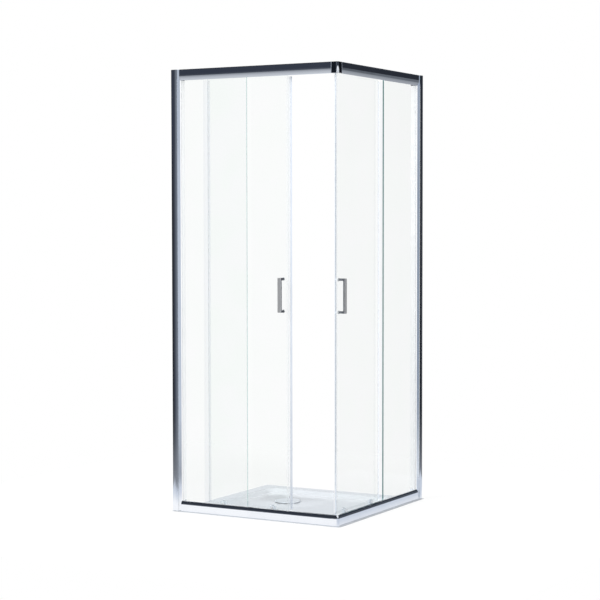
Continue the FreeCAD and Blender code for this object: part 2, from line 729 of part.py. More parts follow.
def leading_seal():
    """Clip-on strip on the door's leading edge, slanted to meet the other door's on the diagonal."""
    low_v = DOOR_V - SEAL_WALL
    high_v = DOOR_INNER_V + SEAL_WALL
    tail_u = LEAD_U + SEAL_GRIP
    outline = (
        (low_v + RUN_GAP, low_v),
        (high_v + RUN_GAP, high_v),
        (tail_u, high_v),
        (tail_u, low_v),
    )
    seal = prism(outline, SEAL_FOOT, SEAL_TOP)
    seal = seal.cut(block(LEAD_U, tail_u, DOOR_V, DOOR_INNER_V, SEAL_FOOT, SEAL_TOP))
    channel = magnet_outline(MAGNET_LENGTH + 2 * PIN_FIT, MAGNET_THICKNESS + 2 * PIN_FIT)
    return seal.cut(prism(channel, SEAL_FOOT, SEAL_TOP))


def magnet_strip():
    """Magnet that lies in the leading seal's channel."""
    return prism(magnet_outline(MAGNET_LENGTH, MAGNET_THICKNESS), SEAL_FOOT, SEAL_TOP)


def rear_seal():
    """Clip-on strip on the door's rear edge, with a fin towards the fixed glass."""
    low_v = DOOR_V - SEAL_WALL
    high_v = DOOR_INNER_V + SEAL_WALL
    clip = block(REAR_U - SEAL_GRIP, REAR_END_U, low_v, high_v, SEAL_FOOT, SEAL_TOP)
    clip = clip.cut(block(REAR_U - SEAL_GRIP, REAR_U, DOOR_V, DOOR_INNER_V, SEAL_FOOT, SEAL_TOP))
    behind_u = REAR_U + SEAL_WALL
    clip = clip.cut(block(behind_u, REAR_END_U, low_v + REAR_FIN, high_v, SEAL_FOOT, SEAL_TOP))
    fin_v = FIXED_V + GLASS + RUN_GAP
    return clip.fuse(block(REAR_END_U - REAR_FIN, REAR_END_U, fin_v, low_v, SEAL_FOOT, SEAL_TOP))


def handle():
    """Bow handle: one bar with a foot at each end, rounded all over but on its seats."""
    half = HANDLE_WIDTH / 2
    front_v = DOOR_V - HANDLE_REACH
    seat_v = DOOR_V - HANDLE_WASHER
    low = above(HANDLE_RISE - HANDLE_LENGTH / 2)
    high = above(HANDLE_RISE + HANDLE_LENGTH / 2)
    bow = block(HANDLE_U - half, HANDLE_U + half, front_v, seat_v, low, high)
    gap = block(
        HANDLE_U - half - OVERRUN,
        HANDLE_U + half + OVERRUN,
        front_v + HANDLE_BAR,
        seat_v + OVERRUN,
        low + HANDLE_BAR,
        high - HANDLE_BAR,
    )
    bow = bow.cut(gap)
    seat_y = at(HANDLE_U, seat_v, low).y
    free = [edge for edge in bow.Edges if edge.BoundBox.YMin < seat_y - HANDLE_ROUND]
    bow = bow.makeFillet(HANDLE_ROUND, free)
    hole_v = seat_v - HANDLE_SCREW_DEPTH
    for z in handle_heights():
        bow = bow.cut(across(HANDLE_U, hole_v, z, HANDLE_SCREW_RADIUS + PIN_FIT, HANDLE_SCREW_DEPTH))
    return bow


def handle_screws():
    """Screws from inside the door into the handle's feet, with round caps as heads."""
    start_v = DOOR_V - HANDLE_WASHER - HANDLE_SCREW_DEPTH + SLIP_GAP
    seat_v = DOOR_INNER_V + HANDLE_WASHER
    screws = []
    for z in handle_heights():
        shank = across(HANDLE_U, start_v, z, HANDLE_SCREW_RADIUS, seat_v - start_v)
        screws.append(shank.fuse(across(HANDLE_U, seat_v, z, HANDLE_CAP_RADIUS, HANDLE_CAP_HEIGHT)))
    return Part.makeCompound(screws)


def handle_washers():
    """Soft washers between the glass and the handle's feet and caps."""
    washers = []
    faces = ((DOOR_V - HANDLE_WASHER, HANDLE_PAD_RADIUS), (DOOR_INNER_V, HANDLE_CAP_RADIUS))
    bore = HANDLE_SCREW_RADIUS + SLIP_GAP
    for z in handle_heights():
        for v, radius in faces:
            washer = across(HANDLE_U, v, z, radius, HANDLE_WASHER)
            washers.append(washer.cut(across(HANDLE_U, v, z, bore, HANDLE_WASHER)))
    return Part.makeCompound(washers)


def rounded_square(half, radius, z):
    """Wire of a square about the origin with round corners, at height z."""
    inset = half - radius
    middle = inset + radius * math.sqrt(0.5)
    edges = []
    for quarter in range(4):
        turn = FreeCAD.Rotation(Vector(0, 0, 1), 90 * quarter)
        start, bend, end, following = (
            turn.multVec(Vector(x, y, z))
            for x, y in ((half, inset), (middle, middle), (inset, half), (-inset, half))
        )
        edges.append(Part.Arc(start, bend, end).toShape())
        edges.append(Part.makeLine(end, following))
    return Part.Wire(edges)


def tray():
    """Square tray with a shallow basin, a round dish and the seat for the waste."""
    slab = Part.makeBox(TRAY_SIDE, TRAY_SIDE, TRAY_HEIGHT, Vector(-TRAY_SIDE / 2, -TRAY_SIDE / 2, 0))
    reach = TRAY_SIDE / 2 - TRAY_CORNER
    corner = [
        edge for edge in slab.Edges
        if edge.BoundBox.XMin > reach and edge.BoundBox.YMax < -reach
    ]
    slab = slab.makeFillet(TRAY_CORNER, corner)
    basin_half = TRAY_SIDE / 2 - RIM_WIDTH
    basin = Part.makeLoft([
        rounded_square(basin_half - BASIN_SLOPE, BASIN_CORNER - BASIN_SLOPE, BASIN_Z),
        rounded_square(basin_half, BASIN_CORNER, TRAY_HEIGHT),
    ], True, True)
    slab = slab.cut(basin)
    inside = basin_half + OVERRUN
    rounds = [
        edge for edge in slab.Edges
        if max(edge.BoundBox.XMax, -edge.BoundBox.XMin, edge.BoundBox.YMax, -edge.BoundBox.YMin) < inside
        and edge.BoundBox.ZMax - edge.BoundBox.ZMin < SLIP_GAP
        and edge.BoundBox.ZMin > BASIN_Z - SLIP_GAP
    ]
    slab = slab.makeFillet(BASIN_ROUND, rounds)
    drain = at(DRAIN_U, DRAIN_U, FLANGE_TOP)
    dish = Part.makeCone(FLANGE_RADIUS, DISH_RADIUS, DISH_DEPTH, drain)
    seat = upright(DRAIN_U, DRAIN_U, FLANGE_SEAT, FLANGE_RADIUS + RUN_GAP, FLANGE + WASHER)
    hole = upright(DRAIN_U, DRAIN_U, -OVERRUN, WASTE_TUBE_RADIUS + WASTE_HOLE_GAP, TRAY_HEIGHT)
    recess = upright(DRAIN_U, DRAIN_U, -OVERRUN, WASTE_NUT_RADIUS + WASTE_RECESS_GAP, CLAMP_FOOT + OVERRUN)
    return slab.cut(dish).cut(seat).cut(hole).cut(recess)


def ring(z, outer, inner, height):
    """Ring round the drain's axis."""
    return upright(DRAIN_U, DRAIN_U, z, outer, height).cut(upright(DRAIN_U, DRAIN_U, z, inner, height))


def waste_flange():
    """Flanged tube of the waste, dropped in from above, with a socket for the trap below."""
    foot = FLANGE_TOP - WASTE_TUBE_LENGTH
    flange = ring(FLANGE_TOP - FLANGE, FLANGE_RADIUS, THROAT_RADIUS, FLANGE)
    tube = ring(foot, WASTE_TUBE_RADIUS, THROAT_RADIUS, WASTE_TUBE_LENGTH)
    socket = upright(DRAIN_U, DRAIN_U, foot, SOCKET_RADIUS, WASTE_SOCKET_DEPTH)
    return flange.fuse(tube).cut(socket).removeSplitter()


def waste_washers():
    """Rubber rings above and below the tray, under the flange and on the nut."""
    inner = WASTE_TUBE_RADIUS + SLIP_GAP
    outer = WASTE_NUT_RADIUS
    return Part.makeCompound([
        ring(FLANGE_SEAT, outer, inner + WASTE_HOLE_GAP, WASHER),
        ring(CLAMP_FOOT - WASHER, outer, inner + WASTE_HOLE_GAP, WASHER),
    ])


def waste_nut():
    """Notched nut that clamps the waste from below."""
    z = CLAMP_FOOT - WASHER - WASTE_NUT_HEIGHT
    nut = ring(z, WASTE_NUT_RADIUS, WASTE_TUBE_RADIUS + PIN_FIT, WASTE_NUT_HEIGHT)
    axis = at(DRAIN_U, DRAIN_U, 0)
    for index in range(NUT_NOTCHES):
        notch = block(
            DRAIN_U - NUT_NOTCH / 2,
            DRAIN_U + NUT_NOTCH / 2,
            DRAIN_U + WASTE_NUT_RADIUS - NUT_NOTCH / 2,
            DRAIN_U + WASTE_NUT_RADIUS + OVERRUN,
            z,
            z + WASTE_NUT_HEIGHT,
        )
        notch.rotate(axis, Vector(0, 0, 1), 360 * index / NUT_NOTCHES)
        nut = nut.cut(notch)
    return nut


def waste_cover():
    """Round lift-off cover on pads, with pegs that keep it central in the waste."""
    z = FLANGE_TOP + COVER_RISE
    plate = upright(DRAIN_U, DRAIN_U, z, COVER_RADIUS, COVER)
    rim = [edge for edge in plate.Edges if edge.BoundBox.ZMin > z + COVER / 2]
    cover = plate.makeFillet(COVER_ROUND, rim)
    axis = at(DRAIN_U, DRAIN_U, 0)
    peg_v = THROAT_RADIUS - COVER_PEG_RADIUS - RUN_GAP
    pad_v = COVER_RADIUS - COVER_PAD_INSET
    for index in range(COVER_PEGS):
        peg = upright(DRAIN_U, DRAIN_U + peg_v, z - COVER_PEG_DROP, COVER_PEG_RADIUS, COVER_PEG_DROP)
        pad = upright(DRAIN_U, DRAIN_U + pad_v, FLANGE_TOP, COVER_PEG_RADIUS, COVER_RISE)
        for foot in (peg, pad):
            foot.rotate(axis, Vector(0, 0, 1), 360 * index / COVER_PEGS)
            cover = cover.fuse(foot)
    return cover


def door_pieces():
    """Every piece of one door, by name, in the left door's closed place."""
    pieces = {
        "door_glass": door_glass(),
        "leading_seal": leading_seal(),
        "magnet_strip": magnet_strip(),
        "rear_seal": rear_seal(),
        "handle": handle(),
        "handle_screws": handle_screws(),
        "handle_washers": handle_washers(),
        "roller_axles": roller_axles(),
        "roller_bushes": roller_bushes(),
        "cap_nuts": cap_nuts(),
        "guide_bodies": guide_bodies(),
    }
    for end, u in zip(("front", "rear"), ROLLER_U):
        pieces[f"top_wheel_{end}"] = wheel(u, below(AXLE_H))
        pieces[f"guide_wheel_{end}"] = wheel(u, above(AXLE_H))
        pieces[f"guide_carriage_{end}"] = guide_carriage(u)
        pieces[f"guide_spring_{end}"] = guide_spring(u)
    return pieces


def side_pieces():
    """Every piece of one side's frame, by name, on the left side."""
    return {
        "wall_profile": wall_profile(),
        "stile": stile(),
        "top_rail": rail(below, TOP_LIP_RISE),
        "bottom_rail": rail(above, FOOT_LIP_RISE),
        "fixed_glass": fixed_glass(),
        "glazing_gaskets": glazing_gaskets(),
    }


def all_pieces():
    """Every node of the part by name."""
    nodes = {
        "tray": tray(),
        "waste_flange": waste_flange(),
        "waste_washers": waste_washers(),
        "waste_nut": waste_nut(),
        "waste_cover": waste_cover(),
        "corner_top": connector(below, 0),
        "corner_bottom": connector(above, FOOT_LIP_RISE),
        "frame_screws": both(connector_screws() + stile_screws()),
        "lock_screws": lock_screws(),
        "door_stops": door_stops(),
    }
    for name, shape in side_pieces().items():
        nodes[f"{name}_left"] = shape
        nodes[f"{name}_right"] = mirrored(shape)
    for name, shape in door_pieces().items():
        nodes[f"{name}_right"] = mirrored(shape)
        nodes[f"{name}_left"] = shape.translated(Vector(-LEFT_DOOR_OPEN, 0, 0))
    return nodes


os.makedirs("parts", exist_ok=True)
for node, solid in all_pieces().items():
    solid.exportStep(f"parts/{node}.step")
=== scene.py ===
"""Looks of a square corner shower enclosure with two sliding doors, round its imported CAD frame."""
import logging
import math
from dataclasses import dataclass, field
from enum import Enum
from functools import cache
from typing import Any, Iterable, Sequence

import bmesh
import bpy
from bpy.types import Material, Node, NodeSocket, Object
from mathutils import Matrix, Vector


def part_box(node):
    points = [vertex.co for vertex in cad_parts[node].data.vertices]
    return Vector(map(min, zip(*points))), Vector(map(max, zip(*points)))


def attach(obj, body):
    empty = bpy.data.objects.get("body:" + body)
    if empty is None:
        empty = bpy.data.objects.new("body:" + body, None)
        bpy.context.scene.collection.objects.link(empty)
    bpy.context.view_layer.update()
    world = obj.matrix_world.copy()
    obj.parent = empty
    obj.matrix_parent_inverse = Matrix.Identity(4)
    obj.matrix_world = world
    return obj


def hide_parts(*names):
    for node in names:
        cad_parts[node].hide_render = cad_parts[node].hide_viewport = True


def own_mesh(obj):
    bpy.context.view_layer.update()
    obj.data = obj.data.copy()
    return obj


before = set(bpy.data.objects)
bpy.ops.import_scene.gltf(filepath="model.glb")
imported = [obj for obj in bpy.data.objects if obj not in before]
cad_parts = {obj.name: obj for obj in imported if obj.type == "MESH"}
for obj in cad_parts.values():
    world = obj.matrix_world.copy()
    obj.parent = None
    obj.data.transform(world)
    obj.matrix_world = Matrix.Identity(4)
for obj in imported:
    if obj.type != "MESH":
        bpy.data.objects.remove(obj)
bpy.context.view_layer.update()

LOG = logging.getLogger("enclosure")
MM = 0.001
# Distance in metres that moves a box's side well clear of its piece.
FAR = 1.0
FULL_TURN = 2 * math.pi
# Swaps the two glazed sides in the corner's diagonal.
MIRROR = Matrix(((0, -1, 0, 0), (-1, 0, 0, 0), (0, 0, 1, 0), (0, 0, 0, 1)))

Colour = tuple[float, float, float, float]
Span = tuple[float, float]
Tones = tuple[tuple[float, int, int, int], ...]
WHITE: Colour = (1.0, 1.0, 1.0, 1.0)
BLACK: Colour = (0.0, 0.0, 0.0, 1.0)


def srgb(*screen: int) -> Colour:
    """Linear colour of a red, green and blue that each run from 0 to 255 on the screen."""
    shares = [value / 255 for value in screen]
    return *(share / 12.92 if share <= 0.04045 else ((share + 0.055) / 1.055) ** 2.4 for share in shares), 1.0


def placed(name: str, data: bpy.types.ID) -> Object:
    """Put a new object in the scene.

    Args:
        name: Name of the object.
        data: Its mesh, lamp or camera.

    Returns:
        The object, at the origin.
    """
    made = bpy.data.objects.new(name, data)
    bpy.context.scene.collection.objects.link(made)
    return made


def meshed(name: str, mesh: bmesh.types.BMesh) -> Object:
    """Put a new object with a finished mesh in the scene.

    Args:
        name: Name of the object.
        mesh: Its mesh, which is freed.

    Returns:
        The object, at the origin.
    """
    data = bpy.data.meshes.new(name)
    mesh.to_mesh(data)
    mesh.free()
    return placed(name, data)


class Side(Enum):
    """The two glazed sides. Pieces are shaped on the left one."""

    LEFT = "left"
    RIGHT = "right"

    @property
    def matrix(self) -> Matrix:
        """Way from the left side's place to this side's."""
        return Matrix.Identity(4) if self is Side.LEFT else MIRROR

    def node(self, name: str) -> str:
        """Name of this side's CAD node of a kind."""
        return f"{name}_{self.value}"


class End(Enum):
    """The two ends of a door: front is at the closing edge."""

    FRONT = "front"
    REAR = "rear"


class Run(Enum):
    """Which way an extruded profile runs, as the stretch of its draw lines."""

    X = (0.02, 1.0, 1.0)
    Y = (1.0, 0.02, 1.0)
    Z = (1.0, 1.0, 0.02)
    NONE = (1.0, 1.0, 1.0)


class Graph:
    """Adds and links the nodes of one node tree."""

    def __init__(self, tree: bpy.types.NodeTree) -> None:
        """Start with an emptied tree."""
        self.tree = tree
        tree.nodes.clear()

    def feed(self, socket: NodeSocket, value: Any) -> None:
        """Give an input socket a value or a link.

        Args:
            socket: The input.
            value: A plain value, or the output socket to link from.
        """
        if isinstance(value, NodeSocket):
            self.tree.links.new(value, socket)
        else:
            socket.default_value = value

    def add(self, kind: str, inputs: dict[Any, Any] | None = None, **settings: Any) -> Node:
        """Add a node.

        Args:
            kind: Blender's type name of the node, without its ShaderNode start.
            inputs: Values or links by the name or number of the input.
            settings: Attributes of the node itself.

        Returns:
            The new node.
        """
        node = self.tree.nodes.new(f"ShaderNode{kind}")
        for name, value in settings.items():
            setattr(node, name, value)
        for name, value in (inputs or {}).items():
            self.feed(node.inputs[name], value)
        return node

    def math(self, operation: str, first: Any, second: Any = 0.0, clamp: bool = False) -> NodeSocket:
        """Output of a new Math node."""
        return self.add("Math", {0: first, 1: second}, operation=operation, use_clamp=clamp).outputs[0]

    def vector(self, operation: str, first: Any, second: Any) -> NodeSocket:
        """Output of a new Vector Math node."""
        return self.add("VectorMath", {0: first, 1: second}, operation=operation).outputs[0]

    def ramp(self, value: Any, low: float, high: float, start: float = 0.0, end: float = 1.0) -> NodeSocket:
        """Smooth step from start to end as a value goes from low to high."""
        inputs = {"Value": value, "From Min": low, "From Max": high, "To Min": start, "To Max": end}
        return self.add("MapRange", inputs, interpolation_type="SMOOTHSTEP").outputs["Result"]

    def turned(self, angle: NodeSocket, degrees: Sequence[float], start: float = 0.0,
               end: float = 1.0) -> NodeSocket:
        """Smooth step between two angles, of which the angle's socket has the radians."""
        return self.ramp(angle, *(math.radians(degree) for degree in degrees), start, end)

    def mix(self, factor: Any, first: Any, second: Any) -> NodeSocket:
        """Mix of two colours, with the factor as the share of the second."""
        # A Mix node has its colours at inputs 6 and 7, and their mix at output 2.
        return self.add("Mix", {0: factor, 6: first, 7: second}, data_type="RGBA").outputs[2]

    def bands(self, angle: NodeSocket, span: float, tones: Tones) -> NodeSocket:
        """Colours along an angle.

        Args:
            angle: Socket of the angle in radians, with zero in the middle of the span.
            span: Range of the angle in degrees.
            tones: Angle in degrees and screen colour of each stop, in rising order.

        Returns:
            The colour's socket.
        """
        share = self.math("ADD", self.math("DIVIDE", angle, math.radians(span)), 0.5)
        node = self.add("ValToRGB", {0: share})
        elements = node.color_ramp.elements
        stops = [(degree / span + 0.5, srgb(*tone)) for degree, *tone in tones]
        for element, (position, colour) in zip(elements, (stops[0], stops[-1])):
            element.position = position
            element.color = colour
        for position, colour in stops[1:-1]:
            elements.new(position).color = colour
        return node.outputs[0]

    def place(self) -> NodeSocket:
        """Object coordinates."""
        return self.add("TexCoord").outputs["Object"]

    def blend(self, factor: NodeSocket, first: Node, second: Node) -> Node:
        """Mix two shaders, with the factor as the share of the second."""
        return self.add("MixShader", {0: factor, 1: first.outputs[0], 2: second.outputs[0]})

    def close(self, shader: Node, kind: str = "Material") -> None:
        """Lead a shader to the output of a material or the world."""
        self.add(f"Output{kind}", {"Surface": shader.outputs[0]})

    def deliver(self, **outputs: NodeSocket) -> None:
        """Lead values to a group's outputs.

        Args:
            outputs: Socket of the value for each output.
        """
        node = self.tree.nodes.new("NodeGroupOutput")
        for name, value in outputs.items():
            self.feed(node.inputs[name], value)


def new_material(name: str) -> tuple[Material, Graph]:
    """Start an empty material.

    Args:
        name: Name of the material.

    Returns:
        The material and the graph of its nodes.
    """
    material = bpy.data.materials.new(name)
    material.use_nodes = True
    return material, Graph(material.node_tree)


class Effect(Enum):
    """Surface effects that several finishes share, each one node group."""

    MOTTLE = "mottle"
    DRAWN = "drawn_lines"
    MARKS = "handling_marks"
    GRAIN = "fine_grain"
    NEAR = "near_box_side"

    def start(self, outputs: Sequence[str], **inputs: str) -> tuple[Graph, bpy.types.NodeOutputs]:
        """Make the group's empty tree with its sockets.

        Args:
            outputs: Name of each output. The one named Color is a colour, and the others are numbers.
            inputs: Kind of each input.

        Returns:
            The graph to add nodes to, and the sockets of the group's inputs.
        """
        tree = bpy.data.node_groups.new(self.value, "ShaderNodeTree")
        for name, kind in inputs.items():
            tree.interface.new_socket(name=name, in_out="INPUT", socket_type=f"NodeSocket{kind}")
        for name in outputs:
            kind = "Color" if name == "Color" else "Float"
            tree.interface.new_socket(name=name, in_out="OUTPUT", socket_type=f"NodeSocket{kind}")
        return Graph(tree), tree.nodes.new("NodeGroupInput").outputs

    def put(self, graph: Graph, **inputs: Any) -> bpy.types.NodeOutputs:
        """Place the group in a material and give its outputs."""
        return graph.add("Group", inputs, node_tree=bpy.data.node_groups[self.value]).outputs


class EffectLibrary:
    """Builds the shared surface effects once."""

    mottle_step: Span = (0.35, 0.65)
    mottle_detail = 3.0
    line_detail = 2.0
    patch_step: Span = (0.5, 0.7)
    patch_detail = 4.0
    patch_stretch = (1.0, 1.0, 0.6)

    def build(self) -> None:
        """Make every effect's node group."""
        self.mottle()
        self.drawn_lines()
        self.handling_marks()
        self.fine_grain()
        self.near_box_side()

    @staticmethod
    def noise(graph: Graph, stretch: Any, scale: Any, detail: Any) -> NodeSocket:
        """Noise from 0 to 1 on stretched object coordinates, at a scale in waves per metre."""
        place = graph.vector("MULTIPLY", graph.place(), stretch)
        return graph.add("TexNoise", {"Vector": place, "Scale": scale, "Detail": detail}).outputs[0]

    def mottle(self) -> None:
        """Slow change between two close colours, as cast, moulded and rolled stock has."""
        graph, given = Effect.MOTTLE.start(["Color"], Base="Color", Second="Color", Scale="Float")
        wave = self.noise(graph, Run.NONE.value, given["Scale"], self.mottle_detail)
        mask = graph.ramp(wave, *self.mottle_step)
        graph.deliver(Color=graph.mix(mask, given["Base"], given["Second"]))

    def drawn_lines(self) -> None:
        """Fine lines along the way that a profile was drawn or brushed."""
        graph, given = Effect.DRAWN.start(
            ["Roughness", "Height"], Stretch="Vector", Scale="Float", Smooth="Float", Rough="Float")
        lines = self.noise(graph, given["Stretch"], given["Scale"], self.line_detail)
        more = graph.math("MULTIPLY", graph.math("SUBTRACT", given["Rough"], given["Smooth"]), lines)
        graph.deliver(Roughness=graph.math("ADD", given["Smooth"], more), Height=lines)

    def handling_marks(self) -> None:
        """Faint wiped patches that are a little rougher."""
        graph, given = Effect.MARKS.start(["Roughness"], Roughness="Float", Scale="Float", Amount="Float")
        wave = self.noise(graph, self.patch_stretch, given["Scale"], self.patch_detail)
        more = graph.math("MULTIPLY", graph.ramp(wave, *self.patch_step), given["Amount"])
        graph.deliver(Roughness=graph.math("ADD", given["Roughness"], more))

    def fine_grain(self) -> None:
        """Small soft bumps of moulded plastic, rubber and cast resin."""
        graph, given = Effect.GRAIN.start(["Height"], Scale="Float", Detail="Float")
        graph.deliver(Height=self.noise(graph, Run.NONE.value, given["Scale"], given["Detail"]))

    @staticmethod
    def near_box_side() -> None:
        """Mask of what lies within a band of a box's sides, such as a pane's ground edges."""
        graph, given = Effect.NEAR.start(["Mask"], Low="Vector", High="Vector", Band="Float")
        place = graph.place()
        above = graph.vector("SUBTRACT", place, given["Low"])
        below = graph.vector("SUBTRACT", given["High"], place)
        nearest = graph.add("SeparateXYZ", {0: graph.vector("MINIMUM", above, below)}).outputs
        least = graph.math("MINIMUM", graph.math("MINIMUM", nearest[0], nearest[1]), nearest[2])
        graph.deliver(Mask=graph.math("LESS_THAN", least, given["Band"]))


@dataclass(frozen=True)
class Finish:
    """What every finish has: a name, two close colours and a roughness."""

    name: str
    colour: Colour
    second: Colour
    roughness: float
    mottle_scale: float = 6.0

    def mottled(self, graph: Graph) -> NodeSocket:
        """Socket of the base colour with its slow change."""
        inputs = {"Base": self.colour, "Second": self.second, "Scale": self.mottle_scale}
        return Effect.MOTTLE.put(graph, **inputs)["Color"]

    @staticmethod
    def bump(graph: Graph, height: NodeSocket, strength: float, distance: float) -> NodeSocket:
        """Socket of the normal from a height, of which a share shows."""
        return graph.add("Bump", {"Height": height, "Strength": strength, "Distance": distance}).outputs[0]


@dataclass(frozen=True)
class Metal(Finish):
    """Plated, drawn or brushed metal."""

    run: Run = Run.NONE
    metallic: float = 1.0
    rough_lines: float = 0.12
    line_scale: float = 900.0
    line_height: float = 0.004 * MM
    line_strength: float = 0.25
    marks: float = 0.05
    marks_scale: float = 9.0

    def tone(self, graph: Graph) -> NodeSocket:
        """Colour of the metal all over the piece."""
        return self.mottled(graph)

    def build(self) -> Material:
        """Make the metal's material with its draw lines and wiped patches.

        Returns:
            The material.
        """
        material, graph = new_material(self.name)
        lines = Effect.DRAWN.put(
            graph, Stretch=self.run.value, Scale=self.line_scale,
            Smooth=self.roughness, Rough=self.rough_lines)
        marks = Effect.MARKS.put(
            graph, Roughness=lines["Roughness"], Scale=self.marks_scale, Amount=self.marks)
        graph.close(graph.add("BsdfPrincipled", {
            "Base Color": self.tone(graph),
            "Metallic": self.metallic,
            "Roughness": marks["Roughness"],
            "Normal": self.bump(graph, lines["Height"], self.line_strength, self.line_height),
        }))
        return material


@dataclass(frozen=True)
class BrushedHandlePaintedShade(Metal):
    """Metal of a bow handle, brushed, whose outer face is pale and whose sides and feet carry a painted shade.
    """

    side: Side = Side.LEFT
    # Painted shade of the sides and feet.
    dark: Colour = srgb(76, 79, 88)
    face_depth: float = 3.0 * MM

    def tone(self, graph: Graph) -> NodeSocket:
        """Pale tone on the outer face, and a painted shade in a dark tone on the sides and feet.

        Args:
            graph: The material's graph.

        Returns:
            The colour's socket.
        """
        low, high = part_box(self.side.node("handle"))
        far = Vector((FAR, FAR, FAR))
        start, end = low - far, high + far
        if self.side is Side.LEFT:
            start.y = low.y
        else:
            end.x = high.x
        # The outer face keeps the pale tone; the rest takes the painted shade.
        face = Effect.NEAR.put(graph, Low=start, High=end, Band=self.face_depth)["Mask"]
        return graph.mix(face, self.dark, self.mottled(graph))


@dataclass(frozen=True)
class Moulding(Finish):
    """Moulded plastic, rubber or cast resin with a fine grain."""

    grain_scale: float = 700.0
    grain_detail: float = 2.0
    grain_height: float = 0.02 * MM
    grain_strength: float = 0.3
    coat: float = 0.0
    alpha: float = 1.0
    # Painted glow: emission that brightens a piece that is no lamp.
    glow: float = 0.0
    marks: float = 0.08
    marks_scale: float = 14.0

    def build(self) -> Material:
        """Make the moulding's material with its grain and wiped patches.

        Returns:
            The material.
        """
        material, graph = new_material(self.name)
        grain = Effect.GRAIN.put(graph, Scale=self.grain_scale, Detail=self.grain_detail)
        marks = Effect.MARKS.put(graph, Roughness=self.roughness, Scale=self.marks_scale, Amount=self.marks)
        graph.close(graph.add("BsdfPrincipled", {
            "Base Color": self.mottled(graph),
            "Roughness": marks["Roughness"],
            "Coat Weight": self.coat,
            "Alpha": self.alpha,
            "Emission Strength": self.glow,
            "Normal": self.bump(graph, grain["Height"], self.grain_strength, self.grain_height),
        }))
        return material


@dataclass(frozen=True)
class Pane(Finish):
    """Clear toughened glass whose ground edges are tinted, and on some panes carry a painted glow."""

    node: str = ""
    edge: Colour = srgb(236, 242, 244)
    # Painted glow on the ground edges, set on some panes only.
    glow: Colour | None = None
    index: float = 1.25
    band: float = 0.4 * MM

    def build(self) -> Material:
        """Make the pane's material, which lets light from the lamps and the floor through.

        Returns:
            The material.
        """
        material, graph = new_material(self.name)
        low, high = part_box(self.node)
        thin = 0 if high.x - low.x < high.y - low.y else 1
        low[thin] -= FAR
        high[thin] += FAR
        edge = Effect.NEAR.put(graph, Low=low, High=high, Band=self.band)["Mask"]
        inputs = {
            "Base Color": graph.mix(edge, self.mottled(graph), self.edge),
            "Roughness": self.roughness,
            "IOR": self.index,
            "Transmission Weight": 1.0,
        }
        if self.glow:
            inputs |= {"Emission Color": graph.mix(edge, BLACK, self.glow), "Emission Strength": 1.0}
        glass = graph.add("BsdfPrincipled", inputs)
        clear = graph.add("BsdfTransparent", {"Color": self.colour})
        path = graph.add("LightPath").outputs
        passes = graph.math("MAXIMUM", path["Is Shadow Ray"], path["Is Diffuse Ray"])
        graph.close(graph.blend(passes, glass, clear))
        return material


